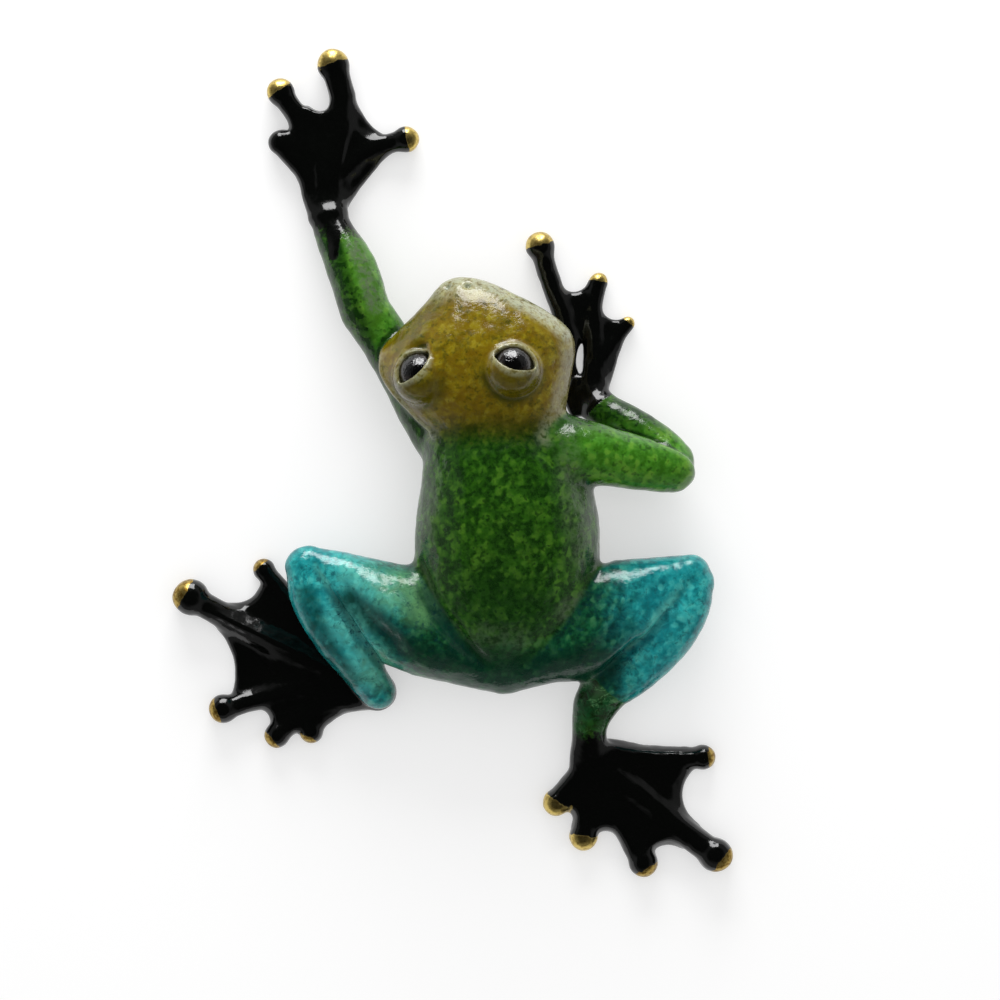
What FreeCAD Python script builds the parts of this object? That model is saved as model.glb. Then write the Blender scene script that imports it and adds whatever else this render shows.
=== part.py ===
import FreeCAD, Part
import math
import os

# A cast bronze frog figurine crawling with its belly down. Its skin is patinated,
# its webbed hands and feet are black enamel and its finger and toe pads are bare
# polished metal. Every casting is a segment of its own, seated on a flat face with
# a dowel or a tenon, as such castings are before they are welded and chased.
#
# Frame: +Y is the way the frog heads, +Z is up, lengths are millimetres. Places and
# radii in the tables are shares of the head's length, so the whole figure grows
# and shrinks with head_len.

# Driving dimensions
head_len = 20.0
web_thk = 1.2            # the skin between fingers and toes
fit_gap = 0.05           # all round a tenon or a dowel
dowel_dia = 3.0          # hips
dowel_len = 4.0
neck_dowel_dia = 4.4
small_dowel_dia = 1.6    # elbows, wrists, knees and ankles
small_dowel_len = 1.2
heel_seat = 2.0          # height of the left foot's flat under the heel
eyeball_rad = 2.9
lid_thk = 0.6
mouth_gap = 0.5          # height of the line between the jaws
mouth_depth = 0.5
nostril_dia = 0.8
ankle_knob_rad = 1.9

# Angles in degrees and plain ratios
head_tilt = -5.0         # the head lies over to the frog's left
elbow_fold_tilt = -42.0  # the forearm folds under the upper arm
ring_points = 8
rest_share = 0.84        # height of a digit's axis above the table, of its radius
knuckle_share = 1.05     # the digit where it runs into its pad, of its neck
pad_split_share = 0.08   # from a pad's centre to its polished cap, of its radius
eye_slit_share = 0.93    # corner to corner, of the eyeball's width
upper_lid_share = 0.62   # the arch of each lid's edge, of the eyeball's radius
lower_lid_share = 0.55

# Sections: x, y, z, half-width, rise above the axis, fall below it
rump_tip_share = (0.34, -1.49, 0.26)
trunk_shares = (
    (0.340, -1.430, 0.265, 0.180, 0.120, 0.130),
    (0.340, -1.300, 0.270, 0.330, 0.210, 0.210),
    (0.355, -1.075, 0.280, 0.480, 0.310, 0.250),
    (0.365, -0.800, 0.290, 0.565, 0.395, 0.270),
    (0.370, -0.550, 0.295, 0.600, 0.450, 0.275),
    (0.370, -0.300, 0.300, 0.580, 0.470, 0.280),
    (0.360, -0.075, 0.330, 0.540, 0.420, 0.270),
    (0.300, 0.200, 0.420, 0.440, 0.260, 0.230),
)
head_shares = (
    trunk_shares[-1],
    (0.223, 0.350, 0.425, 0.520, 0.310, 0.240),
    (0.173, 0.500, 0.425, 0.595, 0.340, 0.245),
    (0.170, 0.675, 0.425, 0.630, 0.345, 0.230),
    (0.218, 0.840, 0.420, 0.565, 0.310, 0.200),
    (0.208, 0.975, 0.415, 0.420, 0.260, 0.160),
    (0.150, 1.095, 0.415, 0.258, 0.190, 0.110),
    (0.105, 1.160, 0.420, 0.150, 0.115, 0.060),
)
snout_tip_share = (0.090, 1.197, 0.43)
mouth_corner_share = (0.170, 0.420, 0.405)

# Nostrils: x, y and the height of the floor
nostril_shares = ((-0.018, 1.122, 0.495), (0.115, 1.127, 0.535))

# Eyes: centre, direction of gaze, direction of the slit
right_eye_shares = ((0.400, 0.590, 0.705), (0.15, 0.68, 0.72), (1.0, -0.37, -0.12))
left_eye_shares = ((-0.185, 0.550, 0.610), (-0.34, 0.74, 0.58), (0.75, 0.62, -0.25))

# Limbs: x, y, z, half-width, half-depth
left_upper_arm_shares = (
    (0.030, 0.040, 0.280, 0.180, 0.170),
    (-0.075, 0.195, 0.260, 0.185, 0.180),
    (-0.290, 0.565, 0.220, 0.170, 0.160),
    (-0.550, 0.975, 0.210, 0.170, 0.165),
)
left_forearm_shares = (
    (-0.640, 1.250, 0.185, 0.165, 0.150),
    (-0.715, 1.410, 0.155, 0.147, 0.130),
    (-0.770, 1.520, 0.130, 0.127, 0.110),
    (-0.800, 1.610, 0.110, 0.120, 0.095),
)
left_palm_shares = (
    (-0.830, 1.750, 0.080, 0.145, 0.075),
    (-0.845, 1.900, 0.055, 0.150, 0.050),
    (-0.850, 2.020, 0.040, 0.100, 0.032),
)
left_arm_shares = left_upper_arm_shares + left_forearm_shares + left_palm_shares
right_upper_arm_shares = (
    (0.575, 0.120, 0.430, 0.190, 0.180),
    (0.725, 0.100, 0.430, 0.210, 0.200),
    (1.025, 0.035, 0.410, 0.190, 0.180),
    (1.275, -0.015, 0.370, 0.170, 0.160),
    (1.440, -0.045, 0.320, 0.150, 0.145),
)
right_forearm_shares = (
    (1.440, 0.000, 0.250, 0.145, 0.140),
    (1.250, 0.175, 0.185, 0.142, 0.135),
    (1.080, 0.285, 0.150, 0.130, 0.120),
    (0.960, 0.370, 0.120, 0.108, 0.095),
)
right_palm_shares = (
    (0.920, 0.480, 0.085, 0.110, 0.075),
    (0.905, 0.625, 0.060, 0.125, 0.055),
    (0.880, 0.775, 0.045, 0.090, 0.035),
)
left_thigh_shares = (
    (0.300, -1.180, 0.300, 0.290, 0.240),
    (0.050, -1.100, 0.310, 0.335, 0.255),
    (-0.300, -1.000, 0.310, 0.330, 0.235),
    (-0.650, -0.825, 0.300, 0.240, 0.195),
    (-0.925, -0.665, 0.280, 0.130, 0.135),
)
left_shank_shares = (
    (-0.940, -0.680, 0.280, 0.135, 0.135),
    (-0.810, -1.000, 0.300, 0.165, 0.160),
    (-0.625, -1.275, 0.260, 0.145, 0.140),
    (-0.475, -1.490, 0.180, 0.118, 0.118),
)
left_instep_shares = (
    (-0.480, -1.500, 0.075, 0.125, 0.075),
    (-0.620, -1.440, 0.075, 0.175, 0.070),
    (-0.800, -1.370, 0.060, 0.190, 0.055),
    (-0.980, -1.300, 0.045, 0.160, 0.040),
)
right_thigh_shares = (
    (0.400, -1.160, 0.310, 0.305, 0.240),
    (0.700, -1.075, 0.310, 0.350, 0.240),
    (0.970, -0.995, 0.310, 0.345, 0.225),
    (1.300, -0.830, 0.300, 0.225, 0.190),
    (1.560, -0.720, 0.280, 0.125, 0.130),
)
right_shank_shares = (
    (1.595, -0.780, 0.270, 0.120, 0.125),
    (1.445, -1.055, 0.290, 0.175, 0.165),
    (1.235, -1.300, 0.260, 0.165, 0.150),
    (1.025, -1.480, 0.210, 0.140, 0.130),
)
right_instep_shares = (
    (0.920, -1.640, 0.150, 0.128, 0.120),
    (0.905, -1.820, 0.110, 0.115, 0.095),
    (0.925, -1.975, 0.080, 0.150, 0.068),
    (0.980, -2.120, 0.050, 0.120, 0.040),
)
ankle_knob_share = (0.995, -1.430, 0.265)

# Folds, where flesh presses on flesh: two points of the crease, and its height
left_knee_fold_shares = ((-0.875, -0.640), (-0.400, -1.350), 0.28)
knee_pin_share = 0.12    # along the fold from the knee
right_knee_fold_shares = ((0.950, -1.350), (1.575, -0.775), 0.28)
right_elbow_fold_shares = ((1.440, -0.025), (0.990, 0.193), 0.285)
left_groin_shares = ((-0.220, -0.725), (0.200, -1.325), 0.30)
right_groin_shares = ((0.525, -1.325), (0.960, -0.775), 0.30)

# Digits: the points of the axis from the palm to the pad, then their radii
left_finger_shares = (
    (((-0.84, 1.78), (-0.965, 1.925), (-1.115, 2.095)), (0.075, 0.070, 0.085)),
    (((-0.84, 1.80), (-0.93, 2.05), (-1.01, 2.275), (-1.115, 2.425)), (0.08, 0.07, 0.068, 0.0925)),
    (((-0.83, 1.80), (-0.73, 2.15), (-0.71, 2.40), (-0.77, 2.60)), (0.09, 0.085, 0.085, 0.1075)),
    (((-0.82, 1.80), (-0.61, 2.00), (-0.45, 2.08), (-0.295, 2.115)), (0.08, 0.07, 0.062, 0.0875)),
)
right_finger_shares = (
    (((0.91, 0.56), (0.775, 0.62), (0.590, 0.75)), (0.070, 0.060, 0.065)),
    (
        ((0.90, 0.52), (0.80, 0.70), (0.72, 1.00), (0.635, 1.24), (0.585, 1.415)),
        (0.080, 0.070, 0.066, 0.068, 0.0975),
    ),
    (((0.94, 0.56), (0.94, 0.80), (0.94, 1.04), (0.965, 1.185)), (0.075, 0.062, 0.055, 0.065)),
    (((0.93, 0.56), (1.02, 0.73), (1.11, 0.84), (1.16, 0.915)), (0.070, 0.055, 0.042, 0.050)),
)
left_toe_shares = (
    (((-0.62, -1.40), (-0.85, -1.175), (-1.10, -0.85), (-1.225, -0.70)), (0.08, 0.07, 0.055, 0.07)),
    (
        ((-0.52, -1.50), (-1.025, -1.24), (-1.475, -1.01), (-1.70, -0.88)),
        (0.09, 0.08, 0.08, 0.12),
    ),
    (((-0.52, -1.50), (-1.00, -1.48), (-1.325, -1.56), (-1.49, -1.61)), (0.09, 0.075, 0.065, 0.095)),
    (((-0.52, -1.52), (-0.85, -1.58), (-1.05, -1.71), (-1.14, -1.785)), (0.09, 0.07, 0.06, 0.08)),
    (((-0.52, -1.53), (-0.725, -1.575), (-0.865, -1.68), (-0.915, -1.76)), (0.08, 0.065, 0.055, 0.075)),
)
right_toe_shares = (
    (((0.925, -1.925), (0.82, -2.065), (0.69, -2.225)), (0.075, 0.065, 0.08)),
    (((0.925, -1.95), (0.90, -2.175), (0.88, -2.325), (0.865, -2.45)), (0.08, 0.07, 0.066, 0.085)),
    (((0.93, -1.95), (1.04, -2.20), (1.18, -2.465), (1.26, -2.615)), (0.085, 0.075, 0.068, 0.09)),
    (((0.93, -1.95), (1.225, -2.16), (1.56, -2.44), (1.73, -2.565)), (0.09, 0.08, 0.08, 0.11)),
    (((0.94, -1.92), (1.225, -1.93), (1.50, -1.94), (1.65, -1.93)), (0.08, 0.068, 0.058, 0.075)),
)

# Webs: each free edge is an arc through three points, and a straight line joins it to the next
left_hand_web_shares = (
    ((-0.915, 1.65), (-1.00, 1.84), (-1.085, 1.985)),
    ((-1.045, 2.115), (-0.995, 2.17), (-1.035, 2.245)),
    ((-0.935, 2.355), (-0.86, 2.305), (-0.79, 2.335)),
    ((-0.63, 2.39), (-0.545, 2.24), (-0.43, 2.14)),
    ((-0.38, 2.045), (-0.56, 1.845), (-0.69, 1.65)),
)
right_hand_web_shares = (
    ((0.855, 0.43), (0.75, 0.53), (0.625, 0.665)),
    ((0.65, 0.785), (0.72, 0.83), (0.715, 0.945)),
    ((0.695, 1.21), (0.80, 1.12), (0.905, 1.20)),
    ((0.985, 1.10), (1.005, 0.97), (1.105, 0.94)),
    ((1.145, 0.845), (1.085, 0.65), (1.02, 0.43)),
)
left_foot_web_shares = (
    ((-0.475, -1.60), (-0.66, -1.57), (-0.83, -1.66)),
    ((-0.965, -1.695), (-0.995, -1.67), (-1.04, -1.73)),
    ((-1.175, -1.70), (-1.25, -1.595), (-1.36, -1.63)),
    ((-1.425, -1.52), (-1.41, -1.31), (-1.53, -1.075)),
    ((-1.46, -0.925), (-1.35, -0.92), (-1.245, -0.81)),
    ((-1.14, -0.75), (-0.75, -1.15), (-0.40, -1.45)),
)
right_foot_web_shares = (
    ((0.80, -1.90), (0.795, -2.025), (0.71, -2.13)),
    ((0.755, -2.255), (0.81, -2.30), (0.80, -2.38)),
    ((0.94, -2.42), (1.05, -2.40), (1.14, -2.51)),
    ((1.305, -2.54), (1.41, -2.485), (1.515, -2.515)),
    ((1.615, -2.38), (1.50, -2.18), (1.58, -2.00)),
    ((1.55, -1.875), (1.325, -1.87), (1.05, -1.825)),
)

# The slot between two fingers of the right hand, its edges an arc each
right_hand_slot_shares = (
    ((0.862, 0.500), (0.818, 0.645), (0.880, 0.860)),
    ((0.880, 0.860), (0.867, 0.680), (0.862, 0.500)),
)

V = FreeCAD.Vector
UP = V(0, 0, 1)
reach = head_len * 6     # longer than anything that a plane cuts


def place(share):
    """The point at a place given in head lengths, on the table where no height is given."""
    x, y, z = (tuple(share) + (0,))[:3]
    return V(x, y, z) * head_len


def unit(vector):
    return vector / vector.Length


def ring(centre, along, wide, rise, fall, roll=0):
    """A closed smooth section square to the direction along, rolled about it."""
    side = unit(unit(along).cross(UP))
    top = side.cross(unit(along))
    turn = FreeCAD.Rotation(unit(along), roll)
    side, top = turn.multVec(side), turn.multVec(top)
    points = []
    for k in range(ring_points):
        angle = 2 * math.pi * k / ring_points
        height = rise if math.sin(angle) > 0 else fall
        points.append(centre + side * (wide * math.cos(angle)) + top * (height * math.sin(angle)))
    curve = Part.BSplineCurve()
    curve.interpolate(points, PeriodicFlag=True)
    return Part.Wire(curve.toShape())


def sized(rows, grow=0):
    """Table rows as centre, half-width, rise and fall, each grown by the given gap."""
    out = []
    for row in rows:
        wide, rise = row[3] * head_len + grow, row[4] * head_len + grow
        fall = row[-1] * head_len + grow
        out.append((place(row[:3]), wide, rise, fall))
    return out


def headings(rows):
    """The direction of the axis at each section, from its neighbours on both sides."""
    last = len(rows) - 1
    return [rows[min(i + 1, last)][0] - rows[max(i - 1, 0)][0] for i in range(len(rows))]


def limb(shares, first=0, last=None, grow=0, rounded=(False, True)):
    """The solid of a limb between two of its sections, flat there or with a round end."""
    rows = sized(shares, grow)
    ways = headings(rows)
    last = len(rows) - 1 if last is None else last
    solid = Part.makeLoft([ring(rows[i][0], ways[i], *rows[i][1:]) for i in range(first, last + 1)], True)
    if rounded[0]:
        solid = solid.fuse(end_cap(rows[first], unit(ways[first]), -1))
    if rounded[1]:
        solid = solid.fuse(end_cap(rows[last], unit(ways[last]), 1))
    return one(solid.removeSplitter())


def end_cap(row, along, sense):
    """Shrinking sections and a point that close a limb like a ball."""
    centre, wide, rise, fall = row
    sections = []
    for degrees in (0, 30, 60):
        angle = math.radians(degrees)
        shrink = math.cos(angle)
        middle = centre + along * (sense * wide * math.sin(angle))
        sections.append(ring(middle, along, wide * shrink, rise * shrink, fall * shrink))
    sections.append(Part.Vertex(centre + along * (sense * wide)))
    return Part.makeLoft(sections, True)


def beyond(point, normal):
    """A block that fills everything on the normal's side of a plane."""
    block = Part.makeBox(reach, reach, reach, V(-reach / 2, -reach / 2, 0))
    block.Placement = FreeCAD.Placement(point, FreeCAD.Rotation(UP, normal))
    return block


def fold_plane(fold, tilt=0):
    """A point of a fold's plane and its normal, to the right of the line between its two points."""
    start, end = place(fold[0]), place(fold[1])
    start.z = fold[2] * head_len
    along = unit(end - place(fold[0]))
    flat = along.cross(UP)
    tip = math.radians(tilt)
    return start, flat * math.cos(tip) + UP * math.sin(tip)


def dowel(point, normal, diameter, length, gap=0):
    """A round pin through a seat's plane, with the length to each side of it."""
    radius = diameter / 2 + gap
    foot = point - normal * (length + gap)
    return Part.makeCylinder(radius, 2 * (length + gap), foot, normal)


def ball(centre, radius):
    sphere = Part.makeSphere(radius)
    sphere.translate(centre)
    return sphere


def one(shape):
    """The single solid of a finished cut or join."""
    solids = sorted(shape.Solids, key=lambda s: s.Volume)
    return solids[-1]


# The castings


def seat(proximal, distal, point, normal, diameter=small_dowel_dia, length=small_dowel_len):
    """Pins the distal casting into the proximal one across the face between them."""
    pinned = one(distal.fuse(dowel(point, normal, diameter, length)))
    socket = dowel(point, normal, diameter, length, fit_gap)
    return one(proximal.cut(socket)), pinned


def folded(proximal, distal, fold, share, tilt=0, **pin):
    """Two castings pressed together on a fold's plane, the distal one on its normal's side."""
    point, normal = fold_plane(fold, tilt)
    proximal = one(proximal.cut(beyond(point, normal)))
    distal = one(distal.cut(beyond(point, normal * -1)))
    end = place(fold[1])
    end.z = point.z
    return seat(proximal, distal, point + (end - point) * share, normal, **pin)


def at_ring(shares, index):
    """The centre of a limb's section and the unit direction of the limb there."""
    rows = sized(shares)
    return rows[index][0], unit(headings(rows)[index])


def trunk_casting():
    sections = [Part.Vertex(place(rump_tip_share))]
    for centre, wide, rise, fall in sized(trunk_shares):
        sections.append(ring(centre, V(0, 1, 0), wide, rise, fall))
    return Part.makeLoft(sections, True)


def head_loft(grow=0):
    rows = sized(head_shares, grow)
    sections = [ring(rows[0][0], V(0, 1, 0), *rows[0][1:])]
    for centre, wide, rise, fall in rows[1:]:
        sections.append(ring(centre, V(0, 1, 0), wide, rise, fall, head_tilt))
    sections.append(Part.Vertex(place(snout_tip_share) + V(0, grow, 0)))
    return Part.makeLoft(sections, True)


def mouth_line():
    """The groove between the jaws: a thin slab across the head, less what lies deeper."""
    slab = Part.makeBox(reach, reach, mouth_gap, V(-reach / 2, 0, -mouth_gap / 2))
    corner = place(mouth_corner_share)
    slab.Placement = FreeCAD.Placement(corner, FreeCAD.Rotation(V(0, 1, 0), head_tilt))
    return slab.cut(head_loft(-mouth_depth))


def head_casting():
    """The head with its mouth and nostrils, before its eyes are fitted."""
    head = head_loft().cut(mouth_line())
    for floor in nostril_shares:
        head = head.cut(Part.makeCylinder(nostril_dia / 2, reach, place(floor)))
    return one(head)


def eye_slit(centre, gaze, slit):
    """The almond opening between the lids: two arcs from corner to corner, cut along the gaze."""
    across = unit(slit - gaze * slit.dot(gaze))
    above = gaze.cross(across)
    corner = across * (eye_slit_share * eyeball_rad)
    upper = Part.Arc(centre - corner, centre + above * (upper_lid_share * eyeball_rad), centre + corner)
    lower = Part.Arc(centre + corner, centre - above * (lower_lid_share * eyeball_rad), centre - corner)
    face = Part.Face(Part.Wire([upper.toShape(), lower.toShape()]))
    return face.extrude(gaze * (eyeball_rad + reach))


def with_eye(head, eye):
    """The head with one lidded dome and its socket, and the eyeball that fills the socket."""
    centre, gaze, slit = place(eye[0]), unit(V(*eye[1])), V(*eye[2])
    head = one(head.fuse(ball(centre, eyeball_rad + lid_thk)))
    head = one(head.cut(eye_slit(centre, gaze, slit)))
    return one(head.cut(ball(centre, eyeball_rad))), ball(centre, eyeball_rad)


def digit(points, radii):
    """A tapering rod from the palm to the round pad; gives the digit and its polished cap."""
    radii = [radius * head_len for radius in radii]
    axis = [place(point) + UP * (radius * rest_share) for point, radius in zip(points, radii)]
    last = len(axis) - 1
    girths = radii[:-1] + [radii[-2] * knuckle_share]
    rings = []
    for i, centre in enumerate(axis):
        way = axis[min(i + 1, last)] - axis[max(i - 1, 0)]
        rings.append(Part.Wire(Part.Circle(centre, way, girths[i]).toShape()))
    outward = axis[last] - axis[last - 1]
    outward.z = 0
    outward = unit(outward)
    far = beyond(axis[last] + outward * (radii[last] * pad_split_share), outward)
    pad = ball(axis[last], radii[last])
    finger = Part.makeLoft(rings, True, True).fuse(pad).cut(far)
    return one(finger), above_table(pad.common(far))


def above_table(shape):
    return one(shape.cut(beyond(V(0, 0, 0), UP * -1)))


def web(edges):
    """The thin skin between the digits, its free edges curved in like a duck's foot."""
    arcs = [[place(p) for p in edge] for edge in edges]
    sides = []
    for arc, following in zip(arcs, arcs[1:] + arcs[:1]):
        sides.append(Part.Arc(*arc).toShape())
        sides.append(Part.LineSegment(arc[-1], following[0]).toShape())
    return Part.Face(Part.Wire(sides)).extrude(UP * web_thk)


def finger_slot(edges):
    """A narrow opening through a hand, between two arcs that meet at its ends."""
    arcs = [Part.Arc(*[place(p) for p in edge]).toShape() for edge in edges]
    return Part.Face(Part.Wire(arcs)).extrude(UP * reach)


def paw(palm, edges, digits):
    """A webbed hand or foot standing on the table, and the polished caps of its pads."""
    fingers, caps = [], []
    for points, radii in digits:
        finger, cap = digit(points, radii)
        fingers.append(finger)
        caps.append(cap)
    whole = palm.fuse([web(edges)] + fingers)
    return above_table(whole), caps


def left_arm():
    """The left arm's three castings in a line: upper arm, forearm and hand, and the finger caps."""
    elbow = len(left_upper_arm_shares) - 1
    wrist = elbow + len(left_forearm_shares)
    upper = limb(left_arm_shares, 0, elbow, rounded=(False, False))
    fore = limb(left_arm_shares, elbow, wrist, rounded=(False, False))
    palm = limb(left_arm_shares, wrist)
    hand, caps = paw(palm, left_hand_web_shares, left_finger_shares)
    upper, fore = seat(upper, fore, *at_ring(left_arm_shares, elbow))
    fore, hand = seat(fore, hand, *at_ring(left_arm_shares, wrist))
    return upper, fore, hand, caps


def right_arm():
    """The right arm, its forearm folded under the upper arm, and its finger caps."""
    wrist = len(right_forearm_shares) - 1
    shares = right_forearm_shares + right_palm_shares
    upper = limb(right_upper_arm_shares)
    fore = limb(shares, 0, wrist, rounded=(True, False))
    hand, caps = paw(limb(shares, wrist), right_hand_web_shares, right_finger_shares)
    hand = one(hand.cut(finger_slot(right_hand_slot_shares)))
    upper, fore = folded(upper, fore, right_elbow_fold_shares, 0, elbow_fold_tilt)
    fore, hand = seat(fore, hand, *at_ring(shares, wrist))
    return upper, fore, hand, caps


def left_leg():
    """The left leg, its shank folded against the thigh with the heel on the webbed foot."""
    thigh = limb(left_thigh_shares)
    shank = limb(left_shank_shares, rounded=(True, True))
    thigh, shank = folded(thigh, shank, left_knee_fold_shares, knee_pin_share)
    heel = V(*at_ring(left_shank_shares, -1)[0])
    heel.z = heel_seat
    shank = one(shank.cut(beyond(heel, UP * -1)))
    room = limb(left_shank_shares, grow=fit_gap, rounded=(True, True)).cut(beyond(heel, UP * -1))
    palm = limb(left_instep_shares, rounded=(True, True))
    foot, caps = paw(palm, left_foot_web_shares, left_toe_shares)
    foot = one(foot.cut(room))
    foot, shank = seat(foot, shank, heel, UP)
    return thigh, shank, foot, caps


def right_leg():
    """The right leg, its shank folded against the thigh and its long ankle and foot behind."""
    ankle = len(right_shank_shares) - 1
    shares = right_shank_shares + right_instep_shares
    centre, way = at_ring(shares, ankle)
    knob = ball(place(ankle_knob_share), ankle_knob_rad)
    thigh = limb(right_thigh_shares)
    shank = limb(shares, 0, ankle, rounded=(True, False)).fuse(knob.cut(beyond(centre, way)))
    instep = limb(shares, ankle).fuse(knob.cut(beyond(centre, way * -1)))
    foot, caps = paw(instep, right_foot_web_shares, right_toe_shares)
    thigh, shank = folded(thigh, one(shank), right_knee_fold_shares, 1 - knee_pin_share)
    shank, foot = seat(shank, foot, centre, way)
    return thigh, shank, foot, caps


def castings():
    """Every casting of the figure by name, each fitted to its neighbours."""
    trunk, head = trunk_casting(), head_casting()
    head, right_eye = with_eye(head, right_eye_shares)
    head, left_eye = with_eye(head, left_eye_shares)
    neck = place(head_shares[0][:3])
    trunk, head = seat(trunk, head, neck, V(0, 1, 0), neck_dowel_dia, dowel_len)
    for arm, rounded in ((left_upper_arm_shares, False), (right_upper_arm_shares, True)):
        room = limb(arm, grow=fit_gap, rounded=(False, rounded))
        trunk, head = one(trunk.cut(room)), one(head.cut(room))
    left_upper_arm, left_forearm, left_hand, left_finger_caps = left_arm()
    right_upper_arm, right_forearm, right_hand, right_finger_caps = right_arm()
    left_thigh, left_shank, left_foot, left_toe_caps = left_leg()
    right_thigh, right_shank, right_foot, right_toe_caps = right_leg()
    hip = {"diameter": dowel_dia, "length": dowel_len}
    trunk, left_thigh = folded(trunk, left_thigh, left_groin_shares, 0.5, **hip)
    trunk, right_thigh = folded(trunk, right_thigh, right_groin_shares, 0.5, **hip)
    parts = {
        "trunk": trunk,
        "head": head,
        "left_eye": left_eye,
        "right_eye": right_eye,
        "left_upper_arm": left_upper_arm,
        "left_forearm": left_forearm,
        "left_hand": left_hand,
        "right_upper_arm": right_upper_arm,
        "right_forearm": right_forearm,
        "right_hand": right_hand,
        "left_thigh": left_thigh,
        "left_shank": left_shank,
        "left_foot": left_foot,
        "right_thigh": right_thigh,
        "right_shank": right_shank,
        "right_foot": right_foot,
    }
    caps = {
        "left_finger_tip": left_finger_caps,
        "right_finger_tip": right_finger_caps,
        "left_toe_tip": left_toe_caps,
        "right_toe_tip": right_toe_caps,
    }
    for name, row in caps.items():
        for number, cap in enumerate(row, 1):
            parts[f"{name}_{number}"] = cap
    return parts


def centred(parts):
    """The parts moved so that the origin is under the middle of the figure, on the table."""
    box = FreeCAD.BoundBox()
    for shape in parts.values():
        box.add(shape.optimalBoundingBox(False))
    for shape in parts.values():
        shape.translate(V(-box.Center.x, -box.Center.y, -box.ZMin))
    return parts


def main():
    os.makedirs("parts", exist_ok=True)
    for name, shape in centred(castings()).items():
        shape.exportStep(f"parts/{name}.step")


main()
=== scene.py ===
import math

import bpy
import numpy as np
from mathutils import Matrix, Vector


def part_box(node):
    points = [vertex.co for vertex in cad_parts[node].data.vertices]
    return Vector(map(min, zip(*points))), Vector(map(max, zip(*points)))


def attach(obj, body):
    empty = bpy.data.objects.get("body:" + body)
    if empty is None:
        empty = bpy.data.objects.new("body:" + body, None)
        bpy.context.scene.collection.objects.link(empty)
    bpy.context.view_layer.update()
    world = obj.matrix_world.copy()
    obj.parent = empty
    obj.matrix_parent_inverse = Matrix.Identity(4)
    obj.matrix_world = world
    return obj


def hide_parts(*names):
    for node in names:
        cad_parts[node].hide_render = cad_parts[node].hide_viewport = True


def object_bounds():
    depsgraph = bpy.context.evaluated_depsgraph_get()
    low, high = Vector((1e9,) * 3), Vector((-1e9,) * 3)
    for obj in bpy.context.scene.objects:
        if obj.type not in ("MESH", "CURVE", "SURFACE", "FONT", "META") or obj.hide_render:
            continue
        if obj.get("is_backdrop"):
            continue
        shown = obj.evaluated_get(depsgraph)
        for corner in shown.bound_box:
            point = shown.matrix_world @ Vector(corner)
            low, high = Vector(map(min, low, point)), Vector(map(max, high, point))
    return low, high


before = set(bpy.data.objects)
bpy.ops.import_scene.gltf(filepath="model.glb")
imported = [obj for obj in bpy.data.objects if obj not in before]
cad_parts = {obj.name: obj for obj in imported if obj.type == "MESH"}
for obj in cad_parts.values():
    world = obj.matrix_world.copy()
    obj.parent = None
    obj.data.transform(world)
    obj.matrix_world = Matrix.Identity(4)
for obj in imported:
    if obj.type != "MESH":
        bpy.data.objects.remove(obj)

import openvdb
from mathutils import Vector, noise

bl_info = {
    "name": "Cast frog figurine",
    "version": (1, 0, 0),
    "blender": (4, 5, 0),
    "location": "3D View > Sidebar > Frog",
    "description": "Patina, enamel, polished pads and glass eyes for the packed frog castings",
    "category": "Object",
}

MM = 0.001

# Which castings carry which finish
HEAD = ("head",)
TRUNK = ("trunk",)
ARMS = ("left_upper_arm", "left_forearm", "right_upper_arm", "right_forearm")
LEGS = ("left_thigh", "left_shank", "right_thigh", "right_shank")
WEBBED = ("left_hand", "right_hand", "left_foot", "right_foot")
DARK_PAD = "left_finger_tip_1"
PADS = tuple(sorted(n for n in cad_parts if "_tip_" in n))
FULL_TOES = ("right_toe_tip_1", "right_toe_tip_2")
GILT_PADS = tuple(n for n in PADS if n != DARK_PAD)
RUBBED_TOES = tuple(n for n in GILT_PADS if "toe" in n and n not in FULL_TOES)
EYES = ("left_eye", "right_eye")

# In millimetres: how far from the metal distances are kept, how near a web's skin is black
# for sure, and how softly one colour gives way to the next
REACH, WEB_SKIN, BLEND = 2.2, 0.45, 0.22
# A web: passes that spread the digits' height over it, that ease it, and that widen its
# outline; the outline's slope and how far it stands out; and its fillets
SPREAD_PASSES, EASE_PASSES, RIM_PASSES = 90, 8, 5
RIM_SLOPE, RIM_OUT = 1.4, 0.25
WEB_EDGE, WEB_SEAM = 0.6, 0.5
# The pale edges, rubbed wear and painted highlight, are fainter to the left of this
CHEEK_X = -7.5           # rubbed edges are fainter to the left of this


def written(red, green, blue):
    """The colour that shows as these 8-bit values."""
    out = []
    for value in (red, green, blue):
        share = value / 255
        out.append(share / 12.92 if share <= 0.04045 else ((share + 0.055) / 1.055) ** 2.4)
    return tuple(out)


def box_mm(node):
    low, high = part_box(node)
    return np.array(low) / MM, np.array(high) / MM


def spots(node, points):
    """Places given in millimetres from the middle of a casting's box, in the frame."""
    low, high = box_mm(node)
    middle = (low + high) / 2
    return [np.array(point, float) + middle[: len(point)] for point in points]


# ---- Distances kept on a lattice, in millimetres, negative inside the metal


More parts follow.
